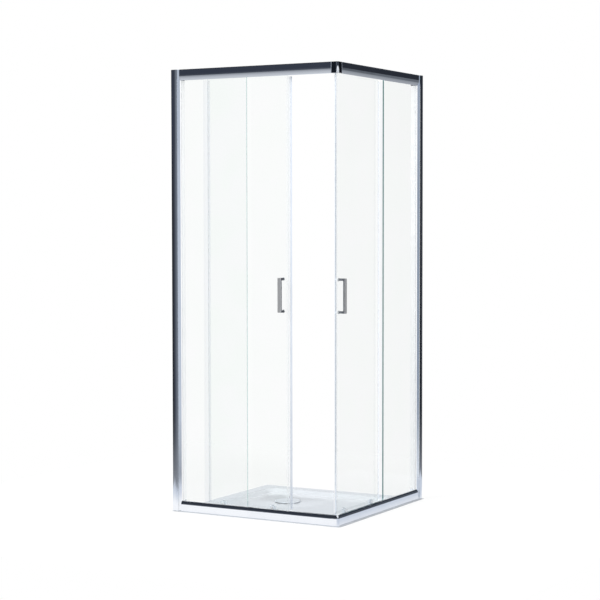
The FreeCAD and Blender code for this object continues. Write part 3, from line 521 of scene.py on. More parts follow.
class Palette:
    """Every finish of the enclosure, made on first use."""

    chrome = (srgb(242, 245, 250), srgb(238, 241, 247))
    clear = (srgb(252, 253, 253), srgb(251, 253, 252), 0.0)
    fixed_edge = srgb(150, 186, 184)
    brushed = {"run": Run.Z, "metallic": 0.55, "rough_lines": 0.52}
    finishes: tuple[Finish, ...] = (
        Metal("chrome_rail_left", *chrome, 0.05, run=Run.X),
        Metal("chrome_rail_right", *chrome, 0.05, run=Run.Y),
        Metal("chrome_upright", *chrome, 0.05, run=Run.Z),
        Metal("chrome_corner", *chrome, 0.06, rough_lines=0.09, line_scale=160.0, line_height=0.01 * MM),
        Metal("smoked_corner", srgb(124, 127, 135), srgb(119, 123, 131), 0.04,
              rough_lines=0.06, line_scale=160.0, marks=0.0),
        # Lit and shaded copies: each handle has its own face tone and painted side shade.
        BrushedHandlePaintedShade("brushed_handle_left", srgb(199, 200, 201), srgb(192, 193, 195), 0.4,
                    **brushed, side=Side.LEFT),
        BrushedHandlePaintedShade("brushed_handle_right", srgb(193, 194, 195), srgb(187, 188, 190), 0.4,
                    **brushed, side=Side.RIGHT, dark=srgb(118, 121, 127)),
        Metal("bright_steel", srgb(206, 207, 209), srgb(190, 192, 195), 0.18,
              rough_lines=0.32, line_scale=1500.0),
        Metal("waste_chrome", srgb(240, 244, 249), srgb(235, 240, 246), 0.3,
              metallic=0.2, rough_lines=0.4, line_scale=500.0),
        Moulding("clear_seal", srgb(222, 231, 242), srgb(228, 236, 245), 0.25, alpha=0.03),
        Moulding("blue_seal", srgb(150, 172, 206), srgb(158, 179, 211), 0.25, alpha=0.05),
        # Lit and shaded copies of one lip: each side's tone is set apart, and the right one has a painted glow.
        Moulding("closing_lip_left", srgb(217, 225, 237), srgb(211, 220, 233), 0.4),
        Moulding("closing_lip_right", srgb(172, 176, 182), srgb(168, 172, 179), 0.4, glow=0.5),
        # Grey base with a painted glow that renders the wedge and bead white.
        Moulding("white_wedge", srgb(186, 187, 188), srgb(183, 184, 186), 0.35, glow=0.5),
        Moulding("flexible_magnet", srgb(232, 238, 246), srgb(227, 234, 243), 0.5),
        Moulding("glazing_rubber", srgb(238, 240, 244), srgb(230, 233, 238), 0.55),
        Moulding("black_rubber", srgb(34, 34, 36), srgb(42, 42, 44), 0.6),
        Moulding("pale_nylon", srgb(222, 224, 226), srgb(212, 214, 217), 0.4),
        Moulding("pale_guide", srgb(236, 241, 247), srgb(229, 235, 243), 0.35),
        # Painted highlight on the connectors' rounded corners.
        Moulding("painted_highlight_plate", srgb(214, 219, 226), srgb(208, 214, 222), 0.35),
        # Painted highlight along the seams of the top connector.
        Moulding("painted_seam_highlight", srgb(158, 166, 178), srgb(150, 158, 171), 0.3),
        Moulding("cast_tray", srgb(222, 226, 231), srgb(225, 228, 232), 0.22, mottle_scale=2.5,
                 grain_scale=220.0, grain_detail=1.0, grain_height=0.05 * MM, coat=0.3, marks=0.03),
        Moulding("waste_plastic", srgb(205, 208, 212), srgb(196, 199, 204), 0.4),
        Pane("glass_fixed_glass_left", *clear, node="fixed_glass_left", edge=fixed_edge),
        # Painted glow on the edges of the right fixed pane and the right door.
        Pane("glass_fixed_glass_right", *clear, node="fixed_glass_right", edge=fixed_edge,
             glow=srgb(52, 104, 102)),
        Pane("glass_door_glass_left", *clear, node="door_glass_left"),
        Pane("glass_door_glass_right", *clear, node="door_glass_right", glow=srgb(172, 180, 190)),
    )
    by_name = {finish.name: finish for finish in finishes}

    @cache
    def material(self, name: str) -> Material:
        """Material of a finish, made once."""
        return self.by_name[name].build()


class Shaper:
    """One piece's mesh in the making, on the left side and in metres."""

    weld = 0.01 * MM
    rounding_steps = 3
    dome_turns = tuple(math.radians(angle) for angle in range(0, 91, 15))
    dome_steps = 32

    def __init__(self) -> None:
        """Start with an empty mesh."""
        self.mesh = bmesh.new()

    def spun(self, profile: Sequence[tuple[float, float]], centre: Vector, axis: Vector, steps: int = 48,
             closed: bool = False) -> None:
        """Turn an outline round an axis.

        Args:
            profile: Radius and place along the axis of each point.
            centre: Where the axis starts.
            axis: Direction of the axis.
            steps: Number of flats round the axis.
            closed: Whether the last point joins the first.
        """
        out = axis.orthogonal().normalized()
        points = [self.mesh.verts.new(centre + axis * along + out * radius) for radius, along in profile]
        pairs = list(zip(points, points[1:]))
        if closed:
            pairs.append((points[-1], points[0]))
        edges = [self.mesh.edges.new(pair) for pair in pairs]
        bmesh.ops.spin(self.mesh, geom=points + edges, cent=centre, axis=axis, dvec=(0, 0, 0),
                       angle=FULL_TURN, steps=steps, use_merge=True)

    def coil(self, centre: Vector, radius: float, wire: float, height: float, turns: float, steps: int = 24,
             sides: int = 8) -> None:
        """Wind a wire upwards.

        Args:
            centre: Foot of the coil's axis.
            radius: Radius of the wire's middle line.
            wire: Radius of the wire.
            height: Rise of the wire's middle line.
            turns: Number of turns.
            steps: Pieces in each turn.
            sides: Flats round the wire.
        """
        ring = bmesh.ops.create_circle(self.mesh, segments=sides, radius=wire, cap_ends=False)["verts"]
        stand = Matrix.Translation(centre + Vector((radius, 0, 0))) @ Matrix.Rotation(math.pi / 2, 4, "X")
        bmesh.ops.transform(self.mesh, matrix=stand, verts=ring)
        count = round(turns * steps)
        edges = list(dict.fromkeys(edge for vert in ring for edge in vert.link_edges))
        bmesh.ops.spin(self.mesh, geom=ring + edges, cent=centre, axis=(0, 0, 1),
                       dvec=(0, 0, height / count), angle=FULL_TURN * turns, steps=count, use_merge=False)
        bmesh.ops.holes_fill(self.mesh, edges=self.mesh.edges, sides=sides)

    def drawn(self, outline: Sequence[Sequence[float]], foot: float, top: float) -> None:
        """Draw an outline upwards.

        Args:
            outline: Place of each corner, as x and y.
            foot: Height of the lower end.
            top: Height of the upper end.
        """
        corners = [self.mesh.verts.new((x, y, foot)) for x, y in outline]
        face = bmesh.ops.contextual_create(self.mesh, geom=corners)["faces"]
        drawn = bmesh.ops.extrude_face_region(self.mesh, geom=face, use_keep_orig=True)["geom"]
        upper = [item for item in drawn if isinstance(item, bmesh.types.BMVert)]
        bmesh.ops.translate(self.mesh, vec=(0, 0, top - foot), verts=upper)

    def domed(self, radius: float, height: float, shank: float, depth: float, centre: Vector,
              axis: Vector) -> None:
        """Round cap with a shank, turned round its axis.

        Args:
            radius: Radius of the cap.
            height: Height of the cap.
            shank: Radius of the shank.
            depth: Length of the shank.
            centre: Middle of the cap's seat.
            axis: Direction in which the cap stands.
        """
        collar = height / 4
        profile = [
            (radius * math.sin(turn), collar + (height - collar) * math.cos(turn)) for turn in self.dome_turns]
        profile += [(radius, 0.0), (shank, 0.0), (shank, -depth), (0.0, -depth)]
        self.spun(profile, centre, axis, self.dome_steps)

    def bar(self, low: Sequence[float], high: Sequence[float], rounding: float) -> None:
        """Bar with rounded edges between two corners.

        Args:
            low: Lowest corner.
            high: Highest corner.
            rounding: Width of the rounded edges.
        """
        low, high = Vector(low), Vector(high)
        verts = bmesh.ops.create_cube(self.mesh, size=1.0)["verts"]
        scale = Matrix.Diagonal((*(high - low), 1.0))
        bmesh.ops.transform(self.mesh, matrix=Matrix.Translation((low + high) / 2) @ scale, verts=verts)
        edges = list(dict.fromkeys(edge for vert in verts for edge in vert.link_edges))
        bmesh.ops.bevel(self.mesh, geom=edges, offset=rounding, affect="EDGES",
                        segments=self.rounding_steps, profile=0.5, material=-1)

    def piece(self, name: str, side: Side = Side.LEFT, sharp: float = 35.0) -> Object:
        """Close the mesh and make its object.

        Args:
            name: Name of the piece.
            side: Side that the piece is moved to.
            sharp: Angle in degrees above which an edge stays sharp.

        Returns:
            The object, at the origin.
        """
        bmesh.ops.remove_doubles(self.mesh, verts=self.mesh.verts, dist=self.weld)
        bmesh.ops.transform(self.mesh, matrix=side.matrix, verts=self.mesh.verts)
        bmesh.ops.recalc_face_normals(self.mesh, faces=self.mesh.faces)
        made = meshed(name, self.mesh)
        made.data.shade_smooth()
        made.data.set_sharp_from_angle(angle=math.radians(sharp))
        return made


@dataclass
class Assembly:
    """What every sub-assembly has: the finishes and ways to dress nodes and add pieces."""

    palette: Palette

    def dress(self, finish: str, *nodes: str) -> None:
        """Give CAD nodes a finish.

        Args:
            finish: The finish's name.
            nodes: Names of the nodes.
        """
        material = self.palette.material(finish)
        for node in nodes:
            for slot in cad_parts[node].material_slots:
                slot.material = material
            LOG.info("dressed %s in %s", node, finish)

    def add(self, made: Object, finish: str, body: str, slot: str, *replaced: str) -> None:
        """Finish a new piece and let it ride.

        Args:
            made: The piece's object.
            finish: The finish's name.
            body: CAD body that it moves with.
            slot: Not used.
            replaced: CAD nodes that it stands for.
        """
        made.data.materials.append(self.palette.material(finish))
        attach(made, body)
        if replaced:
            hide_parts(*replaced)
        LOG.info("added %s on %s", made.name, body)


@dataclass
class Base(Assembly):
    """Tray and waste."""

    def build(self) -> None:
        """Dress the tray and the waste."""
        self.dress("cast_tray", "tray")
        self.dress("waste_chrome", "waste_cover")
        self.dress("waste_plastic", "waste_flange", "waste_nut")
        self.dress("black_rubber", "waste_washers")


@dataclass
class FrameSide(Assembly):
    """Profiles, fixed pane and gaskets of one side."""

    side: Side
    wedge_width: float = 2.0 * MM
    wedge_depth: float = 23.5 * MM
    wedge_toe: float = 0.8 * MM
    bead_lap: float = 1.6 * MM
    bead_slope: float = 0.68
    bead_proud: float = 0.3 * MM
    lip_rise: float = 8.18 * MM
    rail_height: float = 45.0 * MM

    def build(self) -> None:
        """Dress this side's frame and add its glazing strips."""
        name = self.side.node
        self.dress(name("chrome_rail"), name("top_rail"), name("bottom_rail"))
        self.dress("chrome_upright", name("wall_profile"), name("stile"))
        self.dress(name("glass_fixed_glass"), name("fixed_glass"))
        self.dress("glazing_rubber", name("glazing_gaskets"))
        self.glazing_wedge()
        self.glazing_bead()

    def stile(self) -> tuple[Vector, Vector]:
        """Lowest and highest corner of the left stile between the rails."""
        (low, high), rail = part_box("stile_left"), Vector((0, 0, self.rail_height))
        return low + rail, high - rail

    def glazing_wedge(self) -> None:
        """Pale strip along the stile that holds the pane from inside; its finish carries a painted glow."""
        low, high = self.stile()
        _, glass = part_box("fixed_glass_left")
        end = (high.x + self.wedge_width, glass.y + self.wedge_depth, high.z)
        shaper = Shaper()
        shaper.bar((high.x, glass.y, low.z), end, self.wedge_toe)
        self.add(shaper.piece(self.side.node("glazing_wedge"), self.side), "white_wedge", "frame", "gasket")

    def glazing_bead(self) -> None:
        """White bead that laps over the stile's lip and meets the pane's outer face; its finish carries a
        painted glow.
        """
        low, high = self.stile()
        glass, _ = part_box("fixed_glass_left")
        edge, tip = high.x, low.y + self.lip_rise
        lapped = tip - self.bead_slope * self.bead_lap
        shaper = Shaper()
        shaper.drawn([
            (edge - self.bead_lap, lapped),
            (edge - self.bead_lap, lapped - self.bead_proud),
            (edge + self.bead_proud, tip - self.bead_proud),
            (edge + 2 * self.wedge_toe, glass.y),
            (edge, glass.y),
            (edge, tip),
        ], low.z, high.z)
        self.add(shaper.piece(self.side.node("glazing_bead"), self.side), "white_wedge", "frame", "gasket")


@dataclass
class Corner(Assembly):
    """Connectors and the frame's fasteners."""

    radius: float = 12.0 * MM
    length: float = 32.0 * MM
    lip_reach: float = 9.0 * MM
    lip_rise: float = 15.0 * MM
    insert_proud: float = 0.2 * MM
    insert_wall: float = 0.6 * MM
    insert_columns: int = 12
    arch_height: float = 28.0 * MM
    arch_half: float = math.radians(25.0)
    arch_rows: int = 12
    notch_height: float = 11.0 * MM
    notch_half: float = math.radians(42.0)
    notch_rows: int = 8
    seam_highlight_half: float = 0.9 * MM

    def build(self) -> None:
        """Dress the connectors, screws and stops, and add the pale plates and strips that paint highlights on
        the connectors and their seams.
        """
        self.dress("smoked_corner", "corner_top")
        self.dress("chrome_corner", "corner_bottom")
        self.dress("bright_steel", "frame_screws", "lock_screws")
        self.dress("black_rubber", "door_stops")
        self.arch()
        self.notch()
        for side in Side:
            self.collar(side)

    def insert(self, name: str, rows: Sequence[tuple[float, float, float]]) -> None:
        """Thin pale plate on the connector's rounded corner: a painted highlight of the corner.

        Args:
            name: Name of the piece.
            rows: Half angle, radius and height of each row, from the wide end to the point.
        """
        low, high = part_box("corner_bottom")
        axis = Vector((high.x - self.radius, low.y + self.radius, 0.0))
        last = len(rows) - 1
        shaper = Shaper()
        bmesh.ops.create_grid(shaper.mesh, x_segments=self.insert_columns, y_segments=last, size=1.0)
        for vert in shaper.mesh.verts:
            half, radius, height = rows[round((vert.co.y + 1) / 2 * last)]
            turn = math.pi / 4 + vert.co.x * half
            vert.co = axis + Vector((radius * math.sin(turn), -radius * math.cos(turn), height))
        bmesh.ops.solidify(shaper.mesh, geom=shaper.mesh.faces[:], thickness=self.insert_wall)
        self.add(shaper.piece(name), "painted_highlight_plate", "frame", "corner")

    def arch(self) -> None:
        """Arched pale plate at the foot of the top connector: a painted highlight."""
        low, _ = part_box("corner_top")
        rows = []
        for row in range(self.arch_rows + 1):
            share = row / self.arch_rows
            half = self.arch_half * math.sqrt(1 - share ** 2)
            rows.append((half, self.radius + self.insert_proud, low.z + share * self.arch_height))
        self.insert("corner_arch", rows)

    def notch(self) -> None:
        """Pointed pale plate at the head of the bottom connector, along its lip: a painted highlight."""
        _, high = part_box("corner_bottom")
        bend = (self.lip_reach ** 2 + self.lip_rise ** 2) / (2 * self.lip_reach)
        rows = []
        for row in range(self.notch_rows + 1):
            share = row / self.notch_rows
            drop = self.notch_height * share
            inset = bend - math.sqrt(bend ** 2 - (self.lip_rise - drop) ** 2)
            rows.append((self.notch_half * (1 - share), self.radius + self.insert_proud - inset, high.z - drop))
        self.insert("corner_notch", rows)

    def collar(self, side: Side) -> None:
        """Pale strip over the seam between the top connector and a rail: a painted highlight of the connector's
        edge.

        Args:
            side: Side of the rail.
        """
        low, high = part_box("corner_top")
        seam = high.x - self.length
        start = (seam - self.seam_highlight_half, low.y - self.insert_proud, low.z)
        end = (seam + self.seam_highlight_half, low.y + self.insert_wall, high.z)
        shaper = Shaper()
        shaper.bar(start, end, self.insert_wall / 3)
        self.add(shaper.piece(side.node("corner_seam_highlight"), side), "painted_seam_highlight", "frame", "corner")


@dataclass
class Door(Assembly):
    """One sliding door with its seals, handle, rollers and guides."""

    side: Side
    wheel_radius: float = 11.3 * MM
    wheel_width: float = 8.0 * MM
    wheel_round: float = 0.8 * MM
    groove_radius: float = 9.5 * MM
    groove_width: float = 3.0 * MM
    head_radius: float = 5.4 * MM
    head_depth: float = 2.5 * MM
    bore_radius: float = 3.05 * MM
    coil_radius: float = 3.0 * MM
    wire_radius: float = 0.5 * MM
    coil_turns: float = 5.0
    pressed_share: float = 0.52
    guide_nut: float = 6.5 * MM
    screw_cap: float = 7.0 * MM
    screw_cap_height: float = 4.0 * MM
    screw_shank: float = 2.4 * MM
    seat_gap: float = 0.1 * MM
    lip_root: float = 1.0 * MM
    lip_reach: float = 4.6 * MM
    lip_wall: float = 0.45 * MM
    lip_proud: float = 0.06 * MM
    lip_end: float = 0.6 * MM

    @property
    def body(self) -> str:
        """Name of the door's CAD body."""
        return self.side.node("door")

    @property
    def inwards(self) -> Vector:
        """Direction into the enclosure."""
        return Vector((0, 1, 0)) if self.side is Side.LEFT else Vector((-1, 0, 0))

    def build(self) -> None:
        """Dress the door, and add its wheels, springs, lip and fasteners."""
        name = self.side.node
        self.dress(name("glass_door_glass"), name("door_glass"))
        self.dress("clear_seal", name("leading_seal"))
        self.dress("blue_seal", name("rear_seal"))
        self.dress("flexible_magnet", name("magnet_strip"))
        self.dress(name("brushed_handle"), name("handle"))
        self.dress("pale_nylon", name("handle_washers"), name("roller_bushes"))
        self.dress("bright_steel", name("roller_axles"))
        self.dress("pale_guide", name("guide_bodies"))
        for end in End:
            self.dress("pale_guide", name(f"guide_carriage_{end.value}"))
            self.wheel(f"top_wheel_{end.value}")
            self.wheel(f"guide_wheel_{end.value}")
            self.spring(end)
        self.closing_lip()
        self.cap_nuts()
        self.screw_caps()

    def depths(self, kind: str) -> tuple[float, float]:
        """Outer and inner face of this side's node of a kind, along the way into the enclosure."""
        low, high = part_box(self.side.node(kind))
        return (low.y, high.y) if self.side is Side.LEFT else (-high.x, -low.x)

    def seated(self, kind: str, depth: float) -> Vector:
        """Middle of a node, moved to a place along the way into the enclosure.

        Args:
            kind: Name of the node without its side.
            depth: The place along the way in.

        Returns:
            The moved middle.
        """
        low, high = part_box(self.side.node(kind))
        middle = (low + high) / 2
        return middle + self.inwards * (depth - middle.dot(self.inwards))

    def closing_lip(self) -> None:
        """Soft lip of the leading seal: a fin past the left one's tip, a facing on the right one's end."""
        name = self.side.node("closing_lip")
        low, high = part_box(self.side.node("leading_seal"))
        tip = Vector((high.x, low.y))
        if self.side is Side.LEFT:
            along, out = Vector((1, 0)), Vector((0, -1))
            first, last = -self.lip_root, self.lip_reach
            sunk, proud = self.lip_proud, self.lip_wall
        else:
            along, out = Vector((-1, 1)).normalized(), Vector((-1, -1)).normalized()
            first, last = self.lip_end, (high.x - low.x) * math.sqrt(2) - self.lip_end
            sunk, proud = self.lip_wall, self.lip_proud
        corners = ((first, -sunk), (last, -sunk), (last, proud), (first, proud))
        shaper = Shaper()
        shaper.drawn([tip + along * run + out * rise for run, rise in corners], low.z, high.z)
        # Each side's lip takes its own finish: lit and shaded copies, the right one with a painted glow.
        self.add(shaper.piece(name), name, self.body, "seal")

    def cap_nuts(self) -> None:
        """Domed nuts: on the roller axles inside the door, and on the guides' studs outside it."""
        node = self.side.node("cap_nuts")
        low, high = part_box(node)
        outer, inner = self.depths("door_glass")
        nut_outer, nut_inner = self.depths("cap_nuts")
        shaper = Shaper()
        for end in End:
            shank = (self.bore_radius, self.seat_gap)
            seat = self.seated(f"top_wheel_{end.value}", inner)
            shaper.domed(high.z - seat.z, nut_inner - inner, *shank, seat, self.inwards)
            stud = self.seated(f"top_wheel_{end.value}", outer)
            stud.z = low.z + self.guide_nut
            shaper.domed(self.guide_nut, outer - nut_outer, *shank, stud, -self.inwards)
        self.add(shaper.piece(f"{node}_domes"), "pale_nylon", self.body, "cap", node)

    def screw_caps(self) -> None:
        """Domed caps of the handle's screws, with their shanks."""
        node = self.side.node("handle_screws")
        low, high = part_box(node)
        outer, inner = self.depths("handle_screws")
        seat_depth = inner - self.screw_cap_height
        shaper = Shaper()
        for height in (low.z + self.screw_cap, high.z - self.screw_cap):
            seat = self.seated("handle_screws", seat_depth)
            seat.z = height
            shaper.domed(self.screw_cap, self.screw_cap_height, self.screw_shank, seat_depth - outer, seat,
                         self.inwards)
        self.add(shaper.piece(f"{node}_caps"), "pale_nylon", self.body, "steel", node)

    def wheel(self, kind: str) -> None:
        """Grooved nylon wheel with rounded rims.

        Args:
            kind: Name of the wheel without its side.
        """
        radius, width, soft = self.wheel_radius, self.wheel_width, self.wheel_round
        turn = soft * (1 - math.sqrt(0.5))
        near = (width - self.groove_width) / 2
        rim = [
            (radius - soft, 0.0),
            (radius - turn, turn),
            (radius, soft),
            (radius, near - turn),
            (radius - turn, near),
            (self.groove_radius, near + turn),
        ]
        far_rim = [(reach, width - along) for reach, along in reversed(rim)]
        profile = [
            (self.bore_radius, self.head_depth),
            (self.head_radius, self.head_depth),
            (self.head_radius, 0.0),
            *rim,
            *far_rim,
            (self.bore_radius, width),
        ]
        node = self.side.node(kind)
        outer, _ = self.depths(kind)
        shaper = Shaper()
        shaper.spun(profile, self.seated(kind, outer), self.inwards, closed=True)
        self.add(shaper.piece(f"{node}_tyre"), "pale_nylon", node, "nylon", node)

    def spring(self, end: End) -> None:
        """Coil that lifts a guide's carriage.

        Args:
            end: End of the door.
        """
        node = self.side.node(f"guide_spring_{end.value}")
        low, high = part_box(node)
        foot = Vector(((low.x + high.x) / 2, (low.y + high.y) / 2, low.z))
        start = foot + Vector((0, 0, self.wire_radius))
        rise = high.z - low.z - 2 * self.wire_radius
        shaper = Shaper()
        shaper.coil(start, self.coil_radius, self.wire_radius, rise, self.coil_turns)
        made = shaper.piece(f"{node}_coil")
        self.add(made, "bright_steel", self.body, "steel", node)
        joint = self.side.node(f"guide_release_{end.value}")
        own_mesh(made)


@dataclass
class Studio:
    """Floor, reflection surround, lamps, backdrop and camera."""

    floor_half: float = 1.5
    floor_height: float = 0.04
    floor_grey: float = 0.21
    floor_glow: float = 0.76
    behind_glass: float = 0.05
    tray_half: float = 0.4
    tray_corner: float = 0.015
    corner_steps: int = 6
    shown: Span = (0.9, 1.1)
    pale: Span = (0.5, 0.85)
    pale_right: Span = (0.33, 0.5)
    pale_tone: Colour = srgb(186, 196, 212)
    soft_level: float = 0.9
    surround_radius: float = 40.0
    surround_steps: tuple[int, int] = (64, 32)
    horizon: Tones = (
        (-180, 32, 35, 41), (-165, 32, 35, 41), (-158, 226, 231, 238), (-120, 226, 231, 238),
        (-105, 40, 44, 51), (-73, 34, 38, 44), (-55, 40, 44, 51), (-38, 56, 60, 69),
        (-26, 75, 80, 90), (-12, 99, 105, 115), (0, 125, 131, 142), (9, 142, 149, 160),
        (24, 186, 195, 207), (33, 196, 205, 217), (56, 206, 213, 222), (72, 172, 182, 195),
        (82, 152, 163, 178), (93, 150, 160, 174), (98, 32, 35, 41), (150, 32, 35, 41),
        (151.5, 104, 109, 116), (157, 104, 109, 116), (159, 32, 35, 41), (180, 32, 35, 41),
    )
    overhead: Tones = (
        (-180, 75, 79, 86), (-165, 226, 231, 238), (-120, 226, 231, 238), (-105, 56, 61, 72),
        (-60, 54, 60, 72), (-24, 56, 61, 72), (-13, 100, 106, 115), (7, 140, 146, 155),
        (27, 185, 194, 206), (38, 190, 199, 211), (45, 60, 64, 72), (74, 36, 40, 46),
        (79, 166, 176, 190), (93, 162, 172, 186), (98, 34, 37, 43), (165, 44, 48, 56),
        (180, 75, 79, 86),
    )
    overhead_rise: Span = (3.8, 4.8)
    sky_left: Tones = ((9, 56, 61, 72), (13, 72, 77, 87), (20, 50, 54, 62), (90, 46, 50, 58))
    sky_right: Tones = (
        (9, 44, 48, 56), (12, 104, 110, 120), (16, 84, 90, 99), (21, 48, 52, 60), (90, 46, 50, 58),
    )
    sky_turn: Span = (60.0, 110.0)
    sky_rise: Span = (9.0, 13.0)
    under: Tones = (
        (-90, 216, 218, 221), (-51, 206, 209, 213), (-36, 191, 194, 199), (-26, 180, 183, 189),
        (-21, 165, 168, 174), (-14, 152, 156, 162), (-8, 140, 144, 150),
    )
    under_rise: Span = (-6.2, -9.2)
    glint_starts: Span = (60.0, 64.0)
    glint_stops: Span = (94.0, 98.0)
    glint_rise: Span = (-7.0, -7.6)
    glint_tone: Colour = srgb(234, 239, 245)
    lamps: tuple[tuple[str, tuple[float, float, float], float], ...] = (
        ("key_lamp", (-2.2, -3.2, 4.2), 108.0),
        ("fill_lamp", (3.4, -1.6, 3.6), 72.0),
    )
    lamp_size: float = 3.0
    target: Vector = field(default_factory=lambda: Vector((0.21405, -0.3877, 0.94376)))
    distance: float = 6.74196
    azimuth: float = 29.18165
    elevation: float = 2.77761
    roll: float = -0.06882
    lens: float = 100.697
    sensor: float = 36.0
    sight: float = 100.0

    def build(self) -> None:
        """Set the whole stage."""
        self.world()
        self.floor()
        self.surround()
        for name, place, power in self.lamps:
            self.lamp(name, Vector(place), power)
        self.camera()
        bpy.context.scene.view_settings.view_transform = "Standard"

    @staticmethod
    def seen(graph: Graph) -> NodeSocket:
        """Find the rays that show the background: from the camera, in gloss and through glass.

        Args:
            graph: Graph of a background's material.

        Returns:
            One for such rays, and zero for the rest.
        """
        path = graph.add("LightPath").outputs
        direct = graph.math("MAXIMUM", path["Is Camera Ray"], path["Is Glossy Ray"])
        return graph.math("MAXIMUM", direct, path["Is Transmission Ray"])

    def world(self) -> None:
        """White backdrop, and soft light at a plain level."""
        world = bpy.data.worlds.new("soft_studio")
        world.use_nodes = True
        graph = Graph(world.node_tree)
        soft = graph.add("Background", {"Color": WHITE, "Strength": self.soft_level})
        white = graph.add("Background", {"Color": WHITE, "Strength": 1.0})
        graph.close(graph.blend(self.seen(graph), soft, white), "World")
        bpy.context.scene.world = world

    @staticmethod
    def prop(name: str, mesh: bmesh.types.BMesh) -> tuple[Object, Graph]:
        """Make an object of the stage with an empty material.

        Args:
            name: Name of the object and of its material.
            mesh: Its mesh, which is freed.

        Returns:
            The object and the graph of its material.
        """
        made = meshed(name, mesh)
        material, graph = new_material(name)
        made.data.materials.append(material)
        return made, graph

    def floor(self) -> None:
        """White floor, level with the tray's rim and cut out round the tray."""
        mesh = bmesh.new()
        bmesh.ops.create_grid(mesh, x_segments=1, y_segments=1, size=self.tray_half)
        corner = [vert for vert in mesh.verts if vert.co.x > 0 and vert.co.y < 0]
        bmesh.ops.bevel(mesh, geom=corner, offset=self.tray_corner, affect="VERTICES",
                        segments=self.corner_steps, profile=0.5, material=-1)
        tray = mesh.faces[:]
        raised = bmesh.ops.extrude_edge_only(mesh, edges=mesh.edges[:])["geom"]
        rim = [item for item in raised if isinstance(item, bmesh.types.BMVert)]
        spread = self.floor_half / self.tray_half
        bmesh.ops.scale(mesh, vec=(spread, spread, 1), verts=rim)
        bmesh.ops.delete(mesh, geom=tray, context="FACES_ONLY")
        bmesh.ops.translate(mesh, vec=(0, 0, self.floor_height), verts=mesh.verts)
        _, graph = self.prop("white_floor", mesh)
        self.floor_finish(graph)

    def floor_finish(self, graph: Graph) -> None:
        """White to the eye, paler blue and then open in polished metal, a little dimmer behind glass.

        Args:
            graph: Graph of the floor's material.
        """
        path = graph.add("LightPath").outputs
        through = path["Is Transmission Ray"]
        glossy = graph.math("SUBTRACT", path["Is Glossy Ray"], through, clamp=True)
        parts = graph.add("SeparateXYZ", {0: graph.place()}).outputs
        away = graph.math("MAXIMUM", graph.math("ABSOLUTE", parts["X"]), graph.math("ABSOLUTE", parts["Y"]))
        dimmer = graph.ramp(away, self.pale[0], self.floor_half, self.behind_glass, 0.0)
        level = graph.math("SUBTRACT", self.floor_glow, graph.math("MULTIPLY", through, dimmer))
        pale = graph.math("MAXIMUM", graph.ramp(away, *self.pale), graph.ramp(parts["X"], *self.pale_right))
        tone = graph.mix(graph.math("MULTIPLY", glossy, pale), WHITE, self.pale_tone)
        matt = graph.add("BsdfDiffuse", {"Color": (self.floor_grey, self.floor_grey, self.floor_grey, 1.0)})
        glow = graph.add("Emission", {
            "Color": tone, "Strength": graph.math("MULTIPLY", self.seen(graph), level)})
        white = graph.add("AddShader", {0: matt.outputs[0], 1: glow.outputs[0]})
        gone = graph.add("BsdfTransparent")
        beyond = graph.math("MULTIPLY", glossy, graph.ramp(away, *self.shown))
        graph.close(graph.blend(beyond, white, gone))

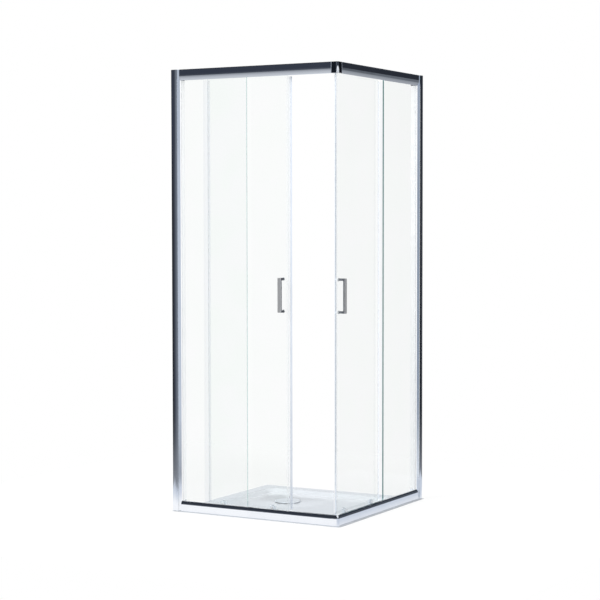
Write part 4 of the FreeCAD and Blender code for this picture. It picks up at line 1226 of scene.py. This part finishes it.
    def surround(self) -> None:
        """Large globe with dark and pale parts that only polished surfaces show."""
        mesh = bmesh.new()
        around, upwards = self.surround_steps
        bmesh.ops.create_uvsphere(mesh, u_segments=around, v_segments=upwards, radius=self.surround_radius)
        globe, graph = self.prop("reflection_surround", mesh)
        parts = graph.add("SeparateXYZ", {0: graph.place()}).outputs
        turn = graph.math("ARCTAN2", parts["X"], graph.math("MULTIPLY", parts["Y"], -1.0))
        rise = graph.math("ARCSINE", graph.math("DIVIDE", parts["Z"], self.surround_radius))
        level, above = (graph.bands(turn, 360.0, tones) for tones in (self.horizon, self.overhead))
        left, right, below = (
            graph.bands(rise, 180.0, tones) for tones in (self.sky_left, self.sky_right, self.under))
        sky = graph.mix(graph.turned(turn, self.sky_turn), left, right)
        upper = graph.mix(graph.turned(rise, self.overhead_rise), level, above)
        top = graph.mix(graph.turned(rise, self.sky_rise), upper, sky)
        whole = graph.mix(graph.turned(rise, self.under_rise), top, below)
        sector = graph.math(
            "MULTIPLY", graph.turned(turn, self.glint_starts), graph.turned(turn, self.glint_stops, 1.0, 0.0))
        glint = graph.math("MULTIPLY", sector, graph.turned(rise, self.glint_rise))
        colour = graph.mix(glint, whole, self.glint_tone)
        matt_first = graph.math("GREATER_THAN", graph.add("LightPath").outputs["Diffuse Depth"], 0.5)
        plain = (self.soft_level, self.soft_level, self.soft_level, 1.0)
        graph.close(graph.add("Emission", {"Color": graph.mix(matt_first, colour, plain)}))
        for ray in ("camera", "diffuse", "transmission", "shadow"):
            setattr(globe, f"visible_{ray}", False)

    def lamp(self, name: str, place: Vector, power: float) -> None:
        """Large soft lamp that points at the enclosure.

        Args:
            name: Name of the lamp.
            place: Where it hangs.
            power: Its power in watts.
        """
        data = bpy.data.lights.new(name, "AREA")
        data.shape = "SQUARE"
        data.size = self.lamp_size
        data.energy = power
        lamp = placed(name, data)
        lamp.location = place
        lamp.rotation_euler = (self.target - place).to_track_quat("-Z", "Y").to_euler()
        lamp.visible_glossy = False

    def camera(self) -> None:
        """Camera at the photograph's place."""
        data = bpy.data.cameras.new("camera")
        data.lens = self.lens
        data.sensor_width = self.sensor
        data.clip_end = self.sight
        camera = placed("camera", data)
        turn, rise, roll = (math.radians(angle) for angle in (self.azimuth, self.elevation, self.roll))
        back = Vector((math.sin(turn) * math.cos(rise), -math.cos(turn) * math.cos(rise), math.sin(rise)))
        right = (-back).cross(Vector((0, 0, 1))).normalized()
        up = right.cross(-back)
        rolled_right = math.cos(roll) * right + math.sin(roll) * up
        rolled_up = -math.sin(roll) * right + math.cos(roll) * up
        place = Matrix((rolled_right, rolled_up, back)).transposed().to_4x4()
        place.translation = self.target + back * self.distance
        camera.matrix_world = place
        bpy.context.scene.camera = camera


def main() -> None:
    """Build every sub-assembly and the stage."""
    logging.basicConfig(level=logging.INFO, format="%(name)s: %(message)s")
    EffectLibrary().build()
    palette = Palette()
    parts: Iterable[Any] = (
        Base(palette),
        *(FrameSide(palette, side) for side in Side),
        Corner(palette),
        *(Door(palette, side) for side in Side),
        Studio(),
    )
    for part in parts:
        part.build()
        LOG.info("built %s", type(part).__name__)


if __name__ == "__main__":
    main()
